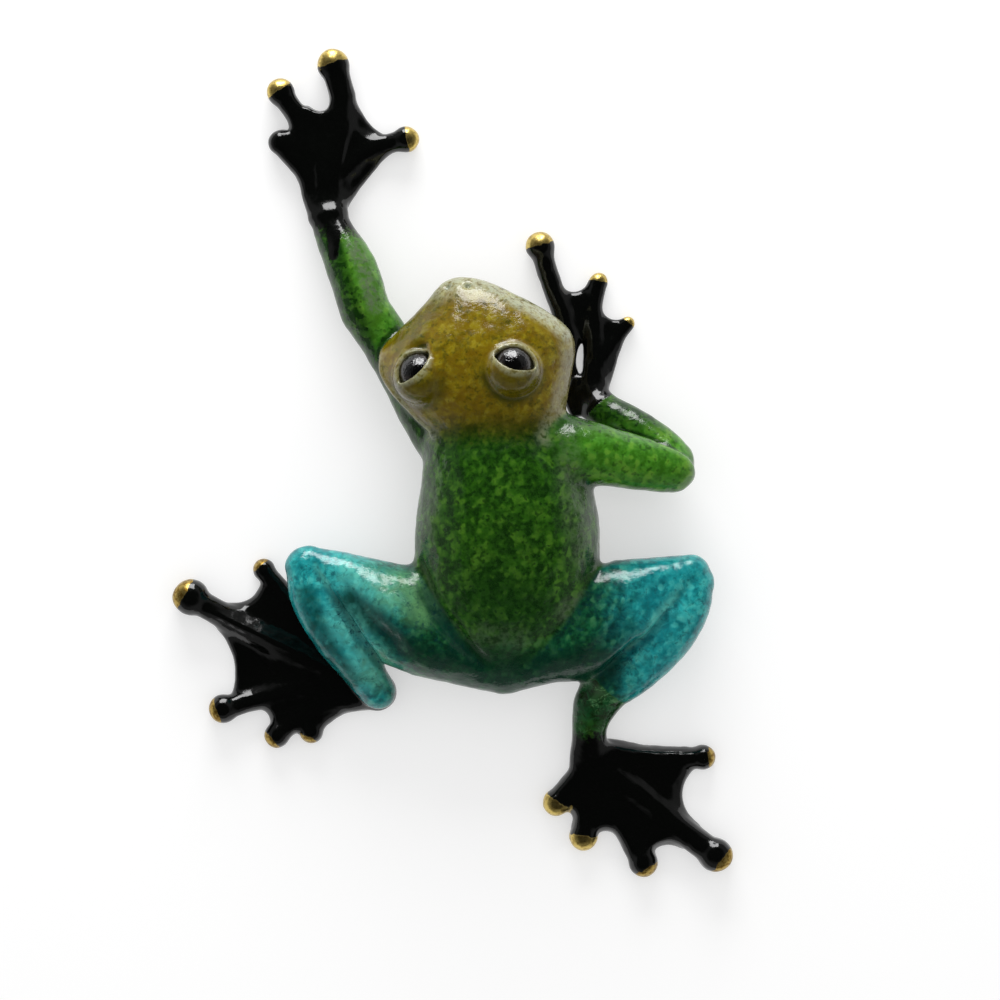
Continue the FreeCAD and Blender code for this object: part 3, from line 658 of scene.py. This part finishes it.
class Skin:
    """The whole figure's skin: its distances, its mesh, and what each casting and colour holds of it."""

    def __init__(self, sizes):
        self.sizes = sizes
        self.lattice = Lattice(sizes.step / MM, REACH)
        self.tree = rod_tree()
        self.eyes = {node: Eye(node) for node in EYES}
        self.fields = {n: node_field(self.lattice, n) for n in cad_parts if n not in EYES}
        self.web = self.lattice.empty()
        self.block = self.cast()
        self.marks = {"pale": self.lattice.empty(), "rubbed": self.lattice.empty()}
        self.sculpt()
        self.mesh_up()
        self.share_out()
        self.paint()

    def size(self, name):
        return getattr(self.sizes, name) / MM

    def rod(self, path, girths):
        return self.lattice.measure(*rod(path, girths, self.tree))

    def union(self, starts, fillet):
        """The castings whose names start so, run together."""
        block = self.lattice.empty()
        for name in self.fields:
            if name.startswith(starts):
                add_to(block, self.fields[name], fillet)
        return block

    def extremity(self, side, kind, digit):
        """A hand or foot with its pads and its raised web."""
        block = self.union((f"{side}_{kind}", f"{side}_{digit}"), self.size("seam_fillet"))
        block = self.lattice.webbed(block, WEB_RISE[f"{side}_{kind}"], self.size("web_gap"))
        self.web = np.minimum(self.web, block)
        return block

    def cast(self):
        """The castings run together, each joint with its own fillet."""
        seam, fold, shoulder = (self.size(f"{name}_fillet") for name in ("seam", "fold", "shoulder"))
        body = self.union(("trunk", "head"), seam)
        for eye in self.eyes.values():
            dome = self.lattice.ball(eye.centre, eye.radius * LID_SHARE - LID_INSET)
            add_to(body, dome, self.size("lid_fillet"))
        for node, points, girth in FILLERS:
            add_to(body, self.rod(spots(node, points), [girth] * len(points)), girth)
        groups = []
        for side, ankle, elbow in (("left", fold, seam), ("right", seam, fold)):
            leg = self.union((f"{side}_thigh", f"{side}_shank"), fold)
            leg = joined(leg, self.extremity(side, "foot", "toe"), ankle)
            hand = self.extremity(side, "hand", "finger")
            arm = joined(self.union((f"{side}_forearm",), seam), hand, shoulder)
            arm = joined(self.union((f"{side}_upper_arm",), seam), arm, elbow)
            groups += [(leg, self.size("groin_fillet")), (arm, shoulder)]
        neck = box_mm("trunk")[1][1]
        ahead = eased(self.lattice.rows(1) - neck, *SHOULDER_LINE)[None, :, None].astype(np.float32)
        for group, fillet in groups:
            body = joined(body, group, fillet + (seam - fillet) * ahead)
        low, high = box_mm("head")
        low[1] = high[1] = neck
        body = self.lattice.melted(body, low + NECK_LOW, high + NECK_HIGH, NECK_MELT)
        low, high = box_mm("trunk")
        low[2], high[1] = 0, low[1]
        body = self.lattice.melted(body, low + RUMP_LOW, high + RUMP_HIGH, RUMP_MELT)
        return softened(body, 2)

    def press(self, rows, add):
        """Lays each row's rod on the skin, standing out by its rise or sunk by its depth."""
        for node, points, girth, rise in rows:
            lift = (rise - girth) if add else (girth - rise)
            path = [(x, y, self.lattice.top(self.block, x, y) + lift) for x, y in spots(node, points)]
            piece = self.rod(path, girth * np.interp(np.linspace(0, 1, len(path)), *RUN_OUT))
            (add_to if add else take_from)(self.block, piece, girth * 0.9)
            if add and node in ("head", "left_shank", "right_shank"):
                self.mark("pale" if node == "head" else "rubbed", piece)

    def mark(self, name, piece):
        window, local = piece
        self.marks[name][window] = np.minimum(self.marks[name][window], local)

    def sculpt(self):
        self.press(CREASES, False)
        self.press(RIDGES, True)
        for x, y in spots("head", NOSTRILS):
            pit = self.lattice.ball(np.array((x, y, self.lattice.top(self.block, x, y))), NOSTRIL_RADIUS)
            take_from(self.block, pit, NOSTRIL_EDGE)
        bead = self.size("lid_bead")
        for eye in self.eyes.values():
            window, prism = eye_opening(self.lattice, eye)
            _, ball = self.lattice.ball(eye.centre, eye.radius)
            for arch in (UPPER_SHARE + LID_REVEAL, -LOWER_SHARE - LID_REVEAL):
                path = eye.edge(eye.radius * LID_SHARE - bead * 0.5, arch)
                piece = self.rod(path, [bead] * len(path))
                add_to(self.block, piece, bead * 1.4)
                self.mark("pale", piece)
            add_to(self.block, self.lattice.ball(eye.centre, eye.radius * 0.9), BED_EDGE)
            opening = np.maximum(prism, -SOCKET_DEPTH - ball)
            self.block[window] = carved(self.block[window], opening, SOCKET_EDGE)
        table = self.lattice.rows(2).astype(np.float32)[None, None, :]
        self.block = carved(softened(self.block, 1), table, TABLE_EDGE)

    def mesh_up(self):
        """Quads over the skin, without what is closed off inside it."""
        grid = openvdb.FloatGrid(self.lattice.reach)
        grid.transform = openvdb.createLinearTransform(voxelSize=self.lattice.step)
        grid.copyFromArray(self.block, ijk=tuple(int(v) for v in self.lattice.low))
        points, quads = grid.convertToQuads(isovalue=0.0)
        quads = quads.astype(np.int64)
        a, b, c = (points[quads[:, i]].astype(float) for i in (0, 1, 2))
        if np.einsum("ij,ij->i", a, np.cross(b - a, c - a)).sum() < 0:
            quads = quads[:, ::-1]
        label = connected(quads, len(points))[quads[:, 0]]
        names, counts = np.unique(label, return_counts=True)
        used, inverse = np.unique(quads[label == names[counts.argmax()]], return_inverse=True)
        self.points, self.quads = points[used].astype(float), inverse.reshape(-1, 4)
        self.normals = self.point_normals()
        spared = [
            np.linalg.norm(self.points - eye.centre, axis=1) - eye.radius * 1.3 for eye in self.eyes.values()]
        waves = self.waves() * self.size("ripple") * np.clip(np.min(spared, axis=0), 0, 1)
        self.points += self.normals * waves[:, None]
        self.normals = self.point_normals()

    def point_normals(self):
        p = self.points[self.quads]
        faces = np.cross(p[:, 2] - p[:, 0], p[:, 3] - p[:, 1])
        total = np.zeros_like(self.points)
        for i in range(4):
            for axis in range(3):
                total[:, axis] += np.bincount(self.quads[:, i], faces[:, axis], len(self.points))
        return unit(total)

    def waves(self):
        """Uneven waves, about 2 mm long, from -1 to 1."""
        seed = Vector((3.1, 7.7, 1.9))
        wave = lambda p, pitch: noise.noise(Vector(p) * pitch + seed)
        return np.array([wave(p, WAVE_PITCH) + WAVELET_SHARE * wave(p, WAVELET_PITCH) for p in self.points])

    def share_out(self):
        """Gives each quad to the casting whose own surface is nearest."""
        middles = self.points[self.quads].mean(axis=1)
        best, owner = np.full(len(middles), np.inf), np.zeros(len(middles), int)
        for number, name in enumerate(self.fields):
            value = self.nearness((name,), middles)
            closer = value < best - 1e-4
            best[closer], owner[closer] = value[closer], number
        self.owner = {name: np.nonzero(owner == number)[0] for number, name in enumerate(self.fields)}

    def nearness(self, names, points):
        """Distance from points to a group of castings."""
        block = self.lattice.empty()
        for name in names:
            window, local = self.fields[name]
            block[window] = np.minimum(block[window], local)
        return self.lattice.read(block, points)

    def paint(self):
        """The masks that the finishes read, at every point of the skin."""
        x, y = self.points[:, :2].T
        near_to = lambda names: self.nearness(names, self.points)
        read = lambda block: self.lattice.read(block, self.points)
        near = {
            "head": near_to(HEAD), "trunk": near_to(TRUNK), "arm": near_to(ARMS), "leg": near_to(LEGS),
            "black": near_to(WEBBED + (DARK_PAD,)), "gilt": near_to(GILT_PADS),
        }
        gilt = np.min([value for key, value in near.items() if key != "gilt"], axis=0) - near["gilt"]
        near["black"] = np.where(read(self.web) < WEB_SKIN, -2.0, near["black"])
        nearest = np.min(list(near.values()), axis=0)
        share = {key: np.exp((nearest - value) / BLEND) for key, value in near.items()}
        total = sum(share.values())
        share = {key: value / total for key, value in share.items()}
        torso = share["head"] + share["trunk"]
        strips = {kind: self.strip(rows) for kind, rows in STRIPS.items()}
        # Painted shade behind the eye domes
        eyes = sum(self.shade_behind_eye(eye) for eye in self.eyes.values())
        front = y - box_mm("trunk")[1][1]
        left, right = box_mm("left_thigh")[1][0], box_mm("right_thigh")[0][0]
        outwards = eased(left - x, *LEFT_KNEE_BAND), eased(x - right, *RIGHT_KNEE_BAND)
        knee = np.where(x < (left + right) / 2, *outwards)
        fair = [spot for node, places in FAIR.items() for spot in spots(node, places)]
        fair = [np.linalg.norm(self.points - spot, axis=1) for spot in fair]
        rubbed = 1 - eased(read(self.marks["rubbed"]), 0.0, 0.6)
        hips = (0.2 + 0.8 * eased(-y, *RUMP_BAND)) * eased(-y, *HIP_BAND)
        wrist = share["arm"] * (x < -SIDE) * eased(y - box_mm("left_hand")[0][1], *WRIST_BAND) * 0.8
        behind = eased(box_mm("right_foot")[1][1] - y, *INSTEP_BAND)
        instep = np.where((x > SIDE) & (y < BEHIND), behind, 1.0)
        beyond = np.zeros(len(x))
        for nodes, reach in GILDING:
            beyond[near_to(nodes) <= near["gilt"] + 1e-3] = reach
        # Pale edges on the lids and cheek, rubbed wear and painted highlight, and a painted reflection of the
        # window on the snout's tip
        edges = (1 - eased(read(self.marks["pale"]), 0.05, 0.55)) * np.where(x < CHEEK_X, 0.4, 0.6)
        snout = eased(y - box_mm("head")[1][1], *SNOUT_BAND) * 0.9
        self.masks = {
            "head": torso * eased(front, *HEAD_BAND),
            "arm": share["arm"],
            "leg": share["leg"],
            # Grey-green veils of painted reflection
            "sage": strips["sage"],
            # Painted shade in creases and grooves and on the flesh turned from the light
            "painted_shade": strips["painted_shade"],
            "teal": share["leg"] * knee * (0.3 + 0.7 * eased(near_to(("right_foot",)), *ANKLE_BAND)),
            "fair": share["leg"] * np.maximum(1 - eased(np.min(fair, axis=0), *FAIR_FADE), rubbed),
            "shade": share["arm"] * np.maximum(strips["shade"], (x > SIDE) * eased(y, *ARM_SHADE_BAND)),
            "sea": np.clip(share["leg"] + share["trunk"] * hips, 0, 1),
            "enamel": np.clip(share["black"] * instep + share["gilt"] + wrist + strips["enamel"], 0, 1),
            "tarsus": share["black"] * (1 - instep),
            "gilt": np.clip(gilt + beyond, -1.5, 1.5),
            "dull": (beyond < 0) * 1.0,
            "hollow": np.clip((read(self.block) - read(softened(self.block, 7))) * 14, -1, 1),
            # Rubbed wear with painted highlight and painted reflection on the head's edges and snout
            "pale": np.maximum(edges, torso * np.maximum(snout, strips["pale"])),
            # Painted shade behind the eye domes, and darker olive towards the nape
            "eye_shade_and_nape": np.clip(eyes + torso * (1 - eased(front, *NAPE_BAND)) * 0.7, 0, 1),
        }

    def shade_behind_eye(self, eye):
        """Painted shade in the hollow round the back of an eye's dome."""
        away = self.points - eye.centre
        far = np.linalg.norm(away, axis=1) / eye.radius
        return eased(far, 1.10, 1.24) * (1 - eased(far, 1.3, 1.8)) * eased(-away[:, 1], -1.5, 1.5)

    def strip(self, rows):
        """How strongly strips of colour lie on every point, seen from above."""
        strongest = np.zeros(len(self.points))
        for node, points, width, fade, strength in rows:
            places = spots(node, points)
            for start, end in zip(places, places[1:]):
                run = end - start
                away = self.points[:, :2] - start
                along = np.clip(away @ run / run.dot(run), 0, 1)
                far = np.linalg.norm(away - along[:, None] * run, axis=1)
                strongest = np.maximum(strongest, strength * (1 - eased(far, width, width + fade)))
        return strongest

    def piece(self, name, node, finish, slot):
        """The closed piece of skin that one casting holds, as an object."""
        used, inverse = np.unique(self.quads[self.owner[node]], return_inverse=True)
        quads = inverse.reshape(-1, 4)
        points = self.points[used]
        edges = np.stack([quads, np.roll(quads, -1, axis=1)], axis=2).reshape(-1, 2)
        there = edges[:, 0] * len(points) + edges[:, 1]
        back = edges[:, 1] * len(points) + edges[:, 0]
        rim = edges[~np.isin(there, back)]
        label = connected(rim, len(points))[rim[:, 0]]
        hubs, fans = [], []
        for group in (rim[label == one] for one in np.unique(label)):
            fans += [(b, a, len(points) + len(hubs)) for a, b in group]
            hubs.append(points[np.unique(group)].mean(axis=0))
        fans = np.array(fans, int).reshape(-1, 3)
        everything = np.concatenate([points, np.array(hubs).reshape(-1, 3)])
        mesh = bpy.data.meshes.new(name)
        mesh.from_pydata((everything * MM).tolist(), [], quads.tolist() + fans.tolist())
        mesh.polygons.foreach_set("use_smooth", np.ones(len(mesh.polygons), bool))
        if len(fans):
            a, b, hub = (everything[fans[:, i]] for i in range(3))
            flat = np.repeat(unit(np.cross(b - a, hub - a)), 3, axis=0)
            normals = self.normals[used][quads.ravel()]
            mesh.normals_split_custom_set(np.concatenate([normals, flat]).tolist())
        for key, values in self.masks.items():
            set_values(mesh, key, np.concatenate([values[used], np.zeros(len(hubs))]))
        mesh.materials.append(finish)
        return dressed(name, mesh, (node,))


def unit(ways):
    return ways / np.maximum(np.linalg.norm(ways, axis=1), 1e-12)[:, None]


def connected(groups, count):
    """A label for each of so many points, the same for points that share a group."""
    label = np.arange(count)
    while True:
        low = label[groups].min(axis=1)
        before = label.copy()
        for column in groups.T:
            np.minimum.at(label, column, low)
        label = label[label]
        if np.array_equal(label, before):
            return label


def dressed(name, mesh, nodes):
    """A finished piece in the scene, standing for its castings."""
    piece = placed(name, mesh)
    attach(piece, "root")
    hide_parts(*nodes)
    return piece


# ---- Finishes


class Finish(Nodes):
    """A material while its nodes are laid."""

    def __init__(self, name):
        self.material = bpy.data.materials.new(name)
        self.material.use_nodes = True
        super().__init__(self.material.node_tree)
        self.place = self.node("TexCoord", {}, {}, "Object")

    def mask(self, name):
        return self.node("Attribute", {"attribute_name": name}, {}, "Fac")

    def ragged(self, name, unevenness, start=0.0):
        """A mask whose edge wanders by some unevenness."""
        return self.mask(name) + unevenness * self.mask(name).step(start, 0.3)

    def grain(self, millimetres, detail=3.0, roughness=0.55, distortion=0.0):
        """Noise with features of the given size."""
        values = {"Vector": self.place, "Scale": 1 / (millimetres * MM), "Detail": detail,
                  "Roughness": roughness, "Distortion": distortion}
        return self.node("TexNoise", {}, values, "Fac")

    def patches(self, millimetres, warp):
        """Patches of one tone each, with bent and feathered edges; most tones lie between 0.2 and 0.8."""
        swirl = {"Vector": self.place, "Scale": 0.8 / (millimetres * MM), "Detail": 2.0}
        swirl = self.node("TexNoise", {}, swirl, "Color")
        away = self.node("VectorMath", {"operation": "SUBTRACT"}, {0: swirl, 1: (0.5, 0.5, 0.5)})
        shift = self.node("VectorMath", {"operation": "SCALE"}, {0: away, "Scale": 2 * warp * MM})
        place = self.node("VectorMath", {"operation": "ADD"}, {0: self.place, 1: shift})
        values = {"Vector": place, "Scale": 1 / (millimetres * MM), "Smoothness": 1.0}
        return self.node("TexVoronoi", {"feature": "SMOOTH_F1"}, values, "Color") * 1.0

    def coated(self, base, *coats):
        """A colour under coats; each is the share of the surface that it hides, and its colour."""
        for share, coat in coats:
            values = {0: share}
            for key, value in ((6, base), (7, coat)):
                values[key] = value if isinstance(value, Signal) else (*value, 1.0)
            base = self.node("Mix", {"data_type": "RGBA"}, values, 2)
        return base

    def bump(self, height, millimetres, strength):
        values = {"Height": height, "Distance": millimetres * MM, "Strength": strength}
        return self.node("Bump", {}, values)

    def close(self, shader):
        self.node("OutputMaterial", {}, {"Surface": shader})
        return self.material


def lacquered(name, hue):
    """The figure's one finish: patina by zone with painted shade and painted reflection, black enamel, and
    bare metal on the pads.
    """
    f = Finish(name)
    mask, coated = f.mask, f.coated
    cloud = f.grain(3.2, 3.0, 0.6, 0.6)
    blotch = f.grain(1.3, 2.0, 0.55, 0.4)
    fine = f.grain(0.5, 2.0, 0.6)
    patch = f.patches(0.8, 0.3)
    tone = patch * 0.35 + blotch * 0.45 + fine * 0.2
    mottle = tone * 0.8 + fine * 0.2
    freckle = fine * 0.6 + blotch * 0.4
    half = fine * 0.5 + blotch * 0.5
    bright = (patch * 0.4 + blotch * 0.3 + cloud * 0.3).step(0.46, 0.66)
    vein = (f.grain(1.7, 2.0, 0.6, 1.2) - 0.5).math("ABSOLUTE").step(0.0, 0.05, 1.0, 0.0)
    vein = vein * cloud.step(0.42, 0.62)
    speck = (f.grain(0.7, 1.0, 0.5) * 0.75 + cloud * 0.25).step(0.55, 0.65)
    pool = mask("hollow").step(0.05, 0.7)
    proud = (mask("hollow") * -1.0).step(0.08, 0.7)
    drift = blotch.step(0.35, 0.65)
    head = coated(
        hue.ochre,
        (tone.step(0.32, 0.66), hue.mustard),
        ((patch * 0.5 + fine * 0.5).step(0.50, 0.72) * 0.4, hue.straw),
        (vein * 0.40 + speck * 0.45, hue.olive),
        ((cloud * 0.6 + fine * 0.4).step(0.48, 0.72) * 0.45, hue.olive),
        # Painted shade behind the eye domes, and darker olive towards the nape
        (pool * 0.8 + mask("eye_shade_and_nape") * 0.6, hue.olive),
    )
    back = coated(
        hue.moss,
        (mottle.step(0.34, 0.62), hue.leaf),
        (bright * 0.28, hue.lime),
        (speck * 0.7 + freckle.step(0.50, 0.68) * 0.3, hue.moss),
        (pool * 0.7, hue.moss),
    )
    arm = coated(
        hue.leaf,
        (mottle.step(0.34, 0.60), hue.grass),
        (bright * 0.5 + proud * 0.2, hue.lime),
        (speck * 0.5 + pool * 0.8 + mask("shade") * (0.6 + drift * 0.5), hue.moss),
    )
    sea = coated(
        hue.fir,
        (mottle.step(0.34, 0.62), hue.sea),
        (mask("fair") * 0.8 + bright * 0.25, hue.sage),
    )
    teal = coated(
        hue.lagoon,
        ((tone * 0.6 + cloud * 0.4).step(0.36, 0.60), hue.turquoise),
        (mask("fair") * 0.5 + bright * 0.35, hue.mint),
    )
    leg_spot = (speck * 0.32 + vein * 0.35 + freckle.step(0.54, 0.70) * 0.2).clamped()
    tarsus = coated(
        coated(hue.enamel, (0.6, hue.moss)),
        (drift, coated(hue.moss, (0.5, hue.sea))),
        (vein * 0.5 + cloud.step(0.5, 0.7) * 0.2, hue.sage),
    )
    # Rubbed wear, with painted highlight and painted reflection, where the pale mask lies
    wear_and_reflection = mask("pale") * (fine.step(0.30, 0.60) * 0.6 + 0.4) * (1 - speck * 0.7)
    black = f.ragged("enamel", (fine - 0.5) * 0.7, 0.02).step(0.30, 0.72)
    gilt = (mask("gilt") + (blotch - 0.5) * 0.6 + (fine - 0.5) * 0.3).step(-0.06, 0.08)
    metal = coated(hue.gold, (fine.step(0.42, 0.66) * 0.6 + pool * 0.5 + mask("dull") * 0.55, hue.bronze))
    base = coated(
        back,
        (f.ragged("head", (tone + fine * 0.4 - 0.7) * 0.9).step(0.1, 0.9), head),
        (mask("arm"), arm),
        # Grey-green veils of painted reflection on the forearm, trunk sides and right thigh
        (mask("sage") * (half.step(0.38, 0.62) * 0.65 + 0.15), coated(hue.wear_and_reflection, (0.76, hue.moss))),
        (f.ragged("sea", (blotch - 0.5) * 0.8, 0.02), sea),
        (f.ragged("teal", (blotch - 0.5) * 0.9), teal),
        (mask("leg") * (leg_spot + pool * 0.4), hue.navy),
        # Painted shade: darker moss on the trunk and head, fir on the legs and hips
        (mask("painted_shade") * (0.55 + drift * 0.35), coated(hue.moss, (mask("sea"), hue.fir))),
        (mask("tarsus"), tarsus),
        (wear_and_reflection.clamped() * 0.7, hue.wear_and_reflection),
        (black, hue.enamel),
        (gilt, metal),
    )
    rough = black.step(0.0, 1.0, 0.17, 0.10) + fine.step(0.4, 0.8) * 0.10 + gilt * 0.2
    relief = f.bump(half * (1 - black * 0.75), 0.12, 0.7)
    look = {"IOR": 1.5, "Base Color": base, "Metallic": gilt, "Roughness": rough, "Normal": relief}
    return f.close(f.node("BsdfPrincipled", {}, look))


def glass_eye(hue):
    """Black glass with a brown ring just inside the iris."""
    f = Finish("eye_glass")
    ring = f.mask("ring").step(0.48, 0.56) * f.mask("ring").step(0.74, 0.66)
    base = f.coated(PUPIL, (ring * (f.grain(0.4, 4.0, 0.7) * 0.8 + 0.2), hue.iris))
    relief = f.bump(f.grain(0.6, 2.0, 0.6, 0.8), 0.11, 0.8)
    look = {"Roughness": 0.05, "IOR": 1.7, "Base Color": base, "Normal": relief}
    return f.close(f.node("BsdfPrincipled", {}, look))


CAST = {}


def skin_of(context):
    """The skin, cast once."""
    if "skin" not in CAST:
        CAST["skin"] = Skin(context.scene.frog_sizes)
    return CAST["skin"]


def finish_of(context, name):
    """The lacquered finish under the name of one of the record's slots, made once."""
    if name not in CAST:
        CAST[name] = lacquered(name, context.scene.frog_colours)
    return CAST[name]


def skin_pieces(context, nodes, slot):
    for node in nodes:
        skin_of(context).piece(f"{node}_skin", node, finish_of(context, slot), slot)
    return {"FINISHED"}


class FROG_OT_head(bpy.types.Operator):
    """Skin of the head, with its lids and jaw"""

    bl_idname = "frog.head"
    bl_label = "Head"

    def execute(self, context):
        return skin_pieces(context, HEAD, "head_patina")


class FROG_OT_trunk(bpy.types.Operator):
    """Skin of the trunk"""

    bl_idname = "frog.trunk"
    bl_label = "Trunk"

    def execute(self, context):
        return skin_pieces(context, TRUNK, "trunk_patina")


class FROG_OT_arms(bpy.types.Operator):
    """Skin of the upper arms and forearms"""

    bl_idname = "frog.arms"
    bl_label = "Arms"

    def execute(self, context):
        return skin_pieces(context, ARMS, "arm_patina")


class FROG_OT_legs(bpy.types.Operator):
    """Skin of the thighs and shanks"""

    bl_idname = "frog.legs"
    bl_label = "Legs"

    def execute(self, context):
        return skin_pieces(context, LEGS, "leg_patina")


class FROG_OT_webbed(bpy.types.Operator):
    """Enamelled hands and feet, with their webs"""

    bl_idname = "frog.webbed"
    bl_label = "Hands and feet"

    def execute(self, context):
        return skin_pieces(context, WEBBED + (DARK_PAD,), "black_enamel")


class FROG_OT_pads(bpy.types.Operator):
    """Polished finger and toe pads"""

    bl_idname = "frog.pads"
    bl_label = "Pads"

    def execute(self, context):
        return skin_pieces(context, GILT_PADS, "polished_pad")


class FROG_OT_eyes(bpy.types.Operator):
    """Glass eyes, with the cornea standing out over the iris"""

    bl_idname = "frog.eyes"
    bl_label = "Eyes"

    def execute(self, context):
        finish = glass_eye(context.scene.frog_colours)
        for node in EYES:
            mesh, angles = ball_mesh(f"{node}_glass", skin_of(context).eyes[node])
            set_values(mesh, "ring", angles)
            mesh.materials.append(finish)
            dressed(f"{node}_glass", mesh, (node,))
        return {"FINISHED"}


def ball_mesh(name, eye):
    """An eyeball with its cornea, and each point's angle from the gaze."""
    rings, sides = GLASS_RINGS, GLASS_SIDES
    points, angles = [], []
    for i in range(rings + 1):
        angle = math.pi * i / rings
        radius = eye.radius * GLASS_SHARE * (1 + CORNEA_SHARE * math.exp(-(angle**4)))
        for k in range(sides if 0 < i < rings else 1):
            turn = 2 * math.pi * k / sides
            side = eye.across * math.cos(turn) + eye.above * math.sin(turn)
            points.append(eye.centre + (eye.gaze * math.cos(angle) + side * math.sin(angle)) * radius)
            angles.append(angle)
    spot = lambda i, k: min(1 + (i - 1) * sides + k % sides, len(points) - 1) if i else 0
    faces = [
        list(dict.fromkeys((spot(i, k), spot(i + 1, k), spot(i + 1, k + 1), spot(i, k + 1))))
        for i in range(rings) for k in range(sides)
    ]
    mesh = bpy.data.meshes.new(name)
    mesh.from_pydata([tuple(p * MM) for p in points], [], faces)
    mesh.polygons.foreach_set("use_smooth", np.ones(len(faces), bool))
    return mesh, angles


class FROG_OT_stage(bpy.types.Operator):
    """Pale table, soft light and the camera straight above"""

    bl_idname = "frog.stage"
    bl_label = "Stage"

    def execute(self, context):
        scene, stage = context.scene, context.scene.frog_stage
        low, high = (np.array(v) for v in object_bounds())
        middle = (low + high) / 2
        self.table()
        self.room(scene, stage.sky_strength)
        self.window(middle, stage.key_strength)
        camera = bpy.data.cameras.new("camera")
        camera.sensor_width = SENSOR
        camera.lens = SENSOR * stage.camera_height / stage.view_width
        scene.camera = placed("camera", camera)
        x, y = middle[:2] + np.array(AIM) * MM
        scene.camera.location = (x, y, stage.camera_height)
        scene.view_settings.view_transform = "Standard"
        return {"FINISHED"}

    def table(self):
        """A pale table that keeps the shadow and is white where the camera sees it."""
        mesh = bpy.data.meshes.new("table")
        square = ((-1, -1), (1, -1), (1, 1), (-1, 1))
        mesh.from_pydata([(x * TABLE_HALF, y * TABLE_HALF, 0) for x, y in square], [], [(0, 1, 2, 3)])
        f = Finish("pale_table")
        seen = (f.ray("Camera") + f.ray("Glossy") + f.ray("Transmission")).clamped()
        diffuse = f.node("BsdfDiffuse", {}, {"Color": TABLE_GREY})
        glow = f.node("Emission", {}, {"Color": WHITE, "Strength": seen * TABLE_GLOW})
        mesh.materials.append(f.close(f.node("AddShader", {}, {0: diffuse, 1: glow})))
        table = placed("table", mesh)
        table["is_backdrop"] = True

    def window(self, middle, strength):
        lamp = bpy.data.lights.new("window", "AREA")
        lamp.shape = "RECTANGLE"
        lamp.size, lamp.size_y = WINDOW_SIZE
        lamp.energy = WINDOW_POWER * strength
        holder = placed("window", lamp)
        holder.location = Vector(WINDOW_PLACE)
        holder.rotation_mode = "QUATERNION"
        holder.rotation_quaternion = (Vector(middle) - holder.location).to_track_quat("-Z", "Y")

    def room(self, scene, strength):
        """Even light; reflections see pale walls and a dark ceiling, and the camera sees white."""
        scene.world = bpy.data.worlds.new("room")
        scene.world.use_nodes = True
        w = Nodes(scene.world.node_tree)
        height = w.node("SeparateXYZ", {}, {0: w.node("TexCoord", {}, {}, "Generated")}, "Z")
        walls = height.step(*CEILING_BAND, WALL_LEVEL, CEILING_LEVEL)
        level = w.node("Mix", {}, {0: w.ray("Glossy"), 2: strength, 3: walls})
        straight = w.ray("Camera").math("MAXIMUM", w.ray("Transmission"))
        level = w.node("Mix", {}, {0: straight, 2: level, 3: 1.0})
        background = w.node("Background", {}, {"Color": WHITE, "Strength": level})
        w.node("OutputWorld", {}, {"Surface": background})


OPERATORS = (
    FROG_OT_head, FROG_OT_trunk, FROG_OT_arms, FROG_OT_legs,
    FROG_OT_webbed, FROG_OT_pads, FROG_OT_eyes, FROG_OT_stage)


class FROG_PT_panel(bpy.types.Panel):
    bl_idname = "FROG_PT_panel"
    bl_label = "Cast frog"
    bl_space_type = "VIEW_3D"
    bl_region_type = "UI"
    bl_category = "Frog"

    def draw(self, context):
        scene = context.scene
        for group in (scene.frog_sizes, scene.frog_colours, scene.frog_stage):
            for key in group.bl_rna.properties.keys():
                if key not in ("rna_type", "name"):
                    self.layout.prop(group, key)
        for operator in OPERATORS:
            self.layout.operator(operator.bl_idname)


GROUPS = {"frog_sizes": FrogSizes, "frog_colours": FrogColours, "frog_stage": FrogStage}


def register():
    for made in (*GROUPS.values(), *OPERATORS, FROG_PT_panel):
        bpy.utils.register_class(made)
    for name, group in GROUPS.items():
        setattr(bpy.types.Scene, name, bpy.props.PointerProperty(type=group))


def unregister():
    for name in GROUPS:
        delattr(bpy.types.Scene, name)
    for made in (FROG_PT_panel, *reversed(OPERATORS), *reversed(GROUPS.values())):
        bpy.utils.unregister_class(made)


def main():
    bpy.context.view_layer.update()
    register()
    for operator in OPERATORS:
        group, name = operator.bl_idname.split(".")
        getattr(getattr(bpy.ops, group), name)()


if __name__ == "__main__":
    main()
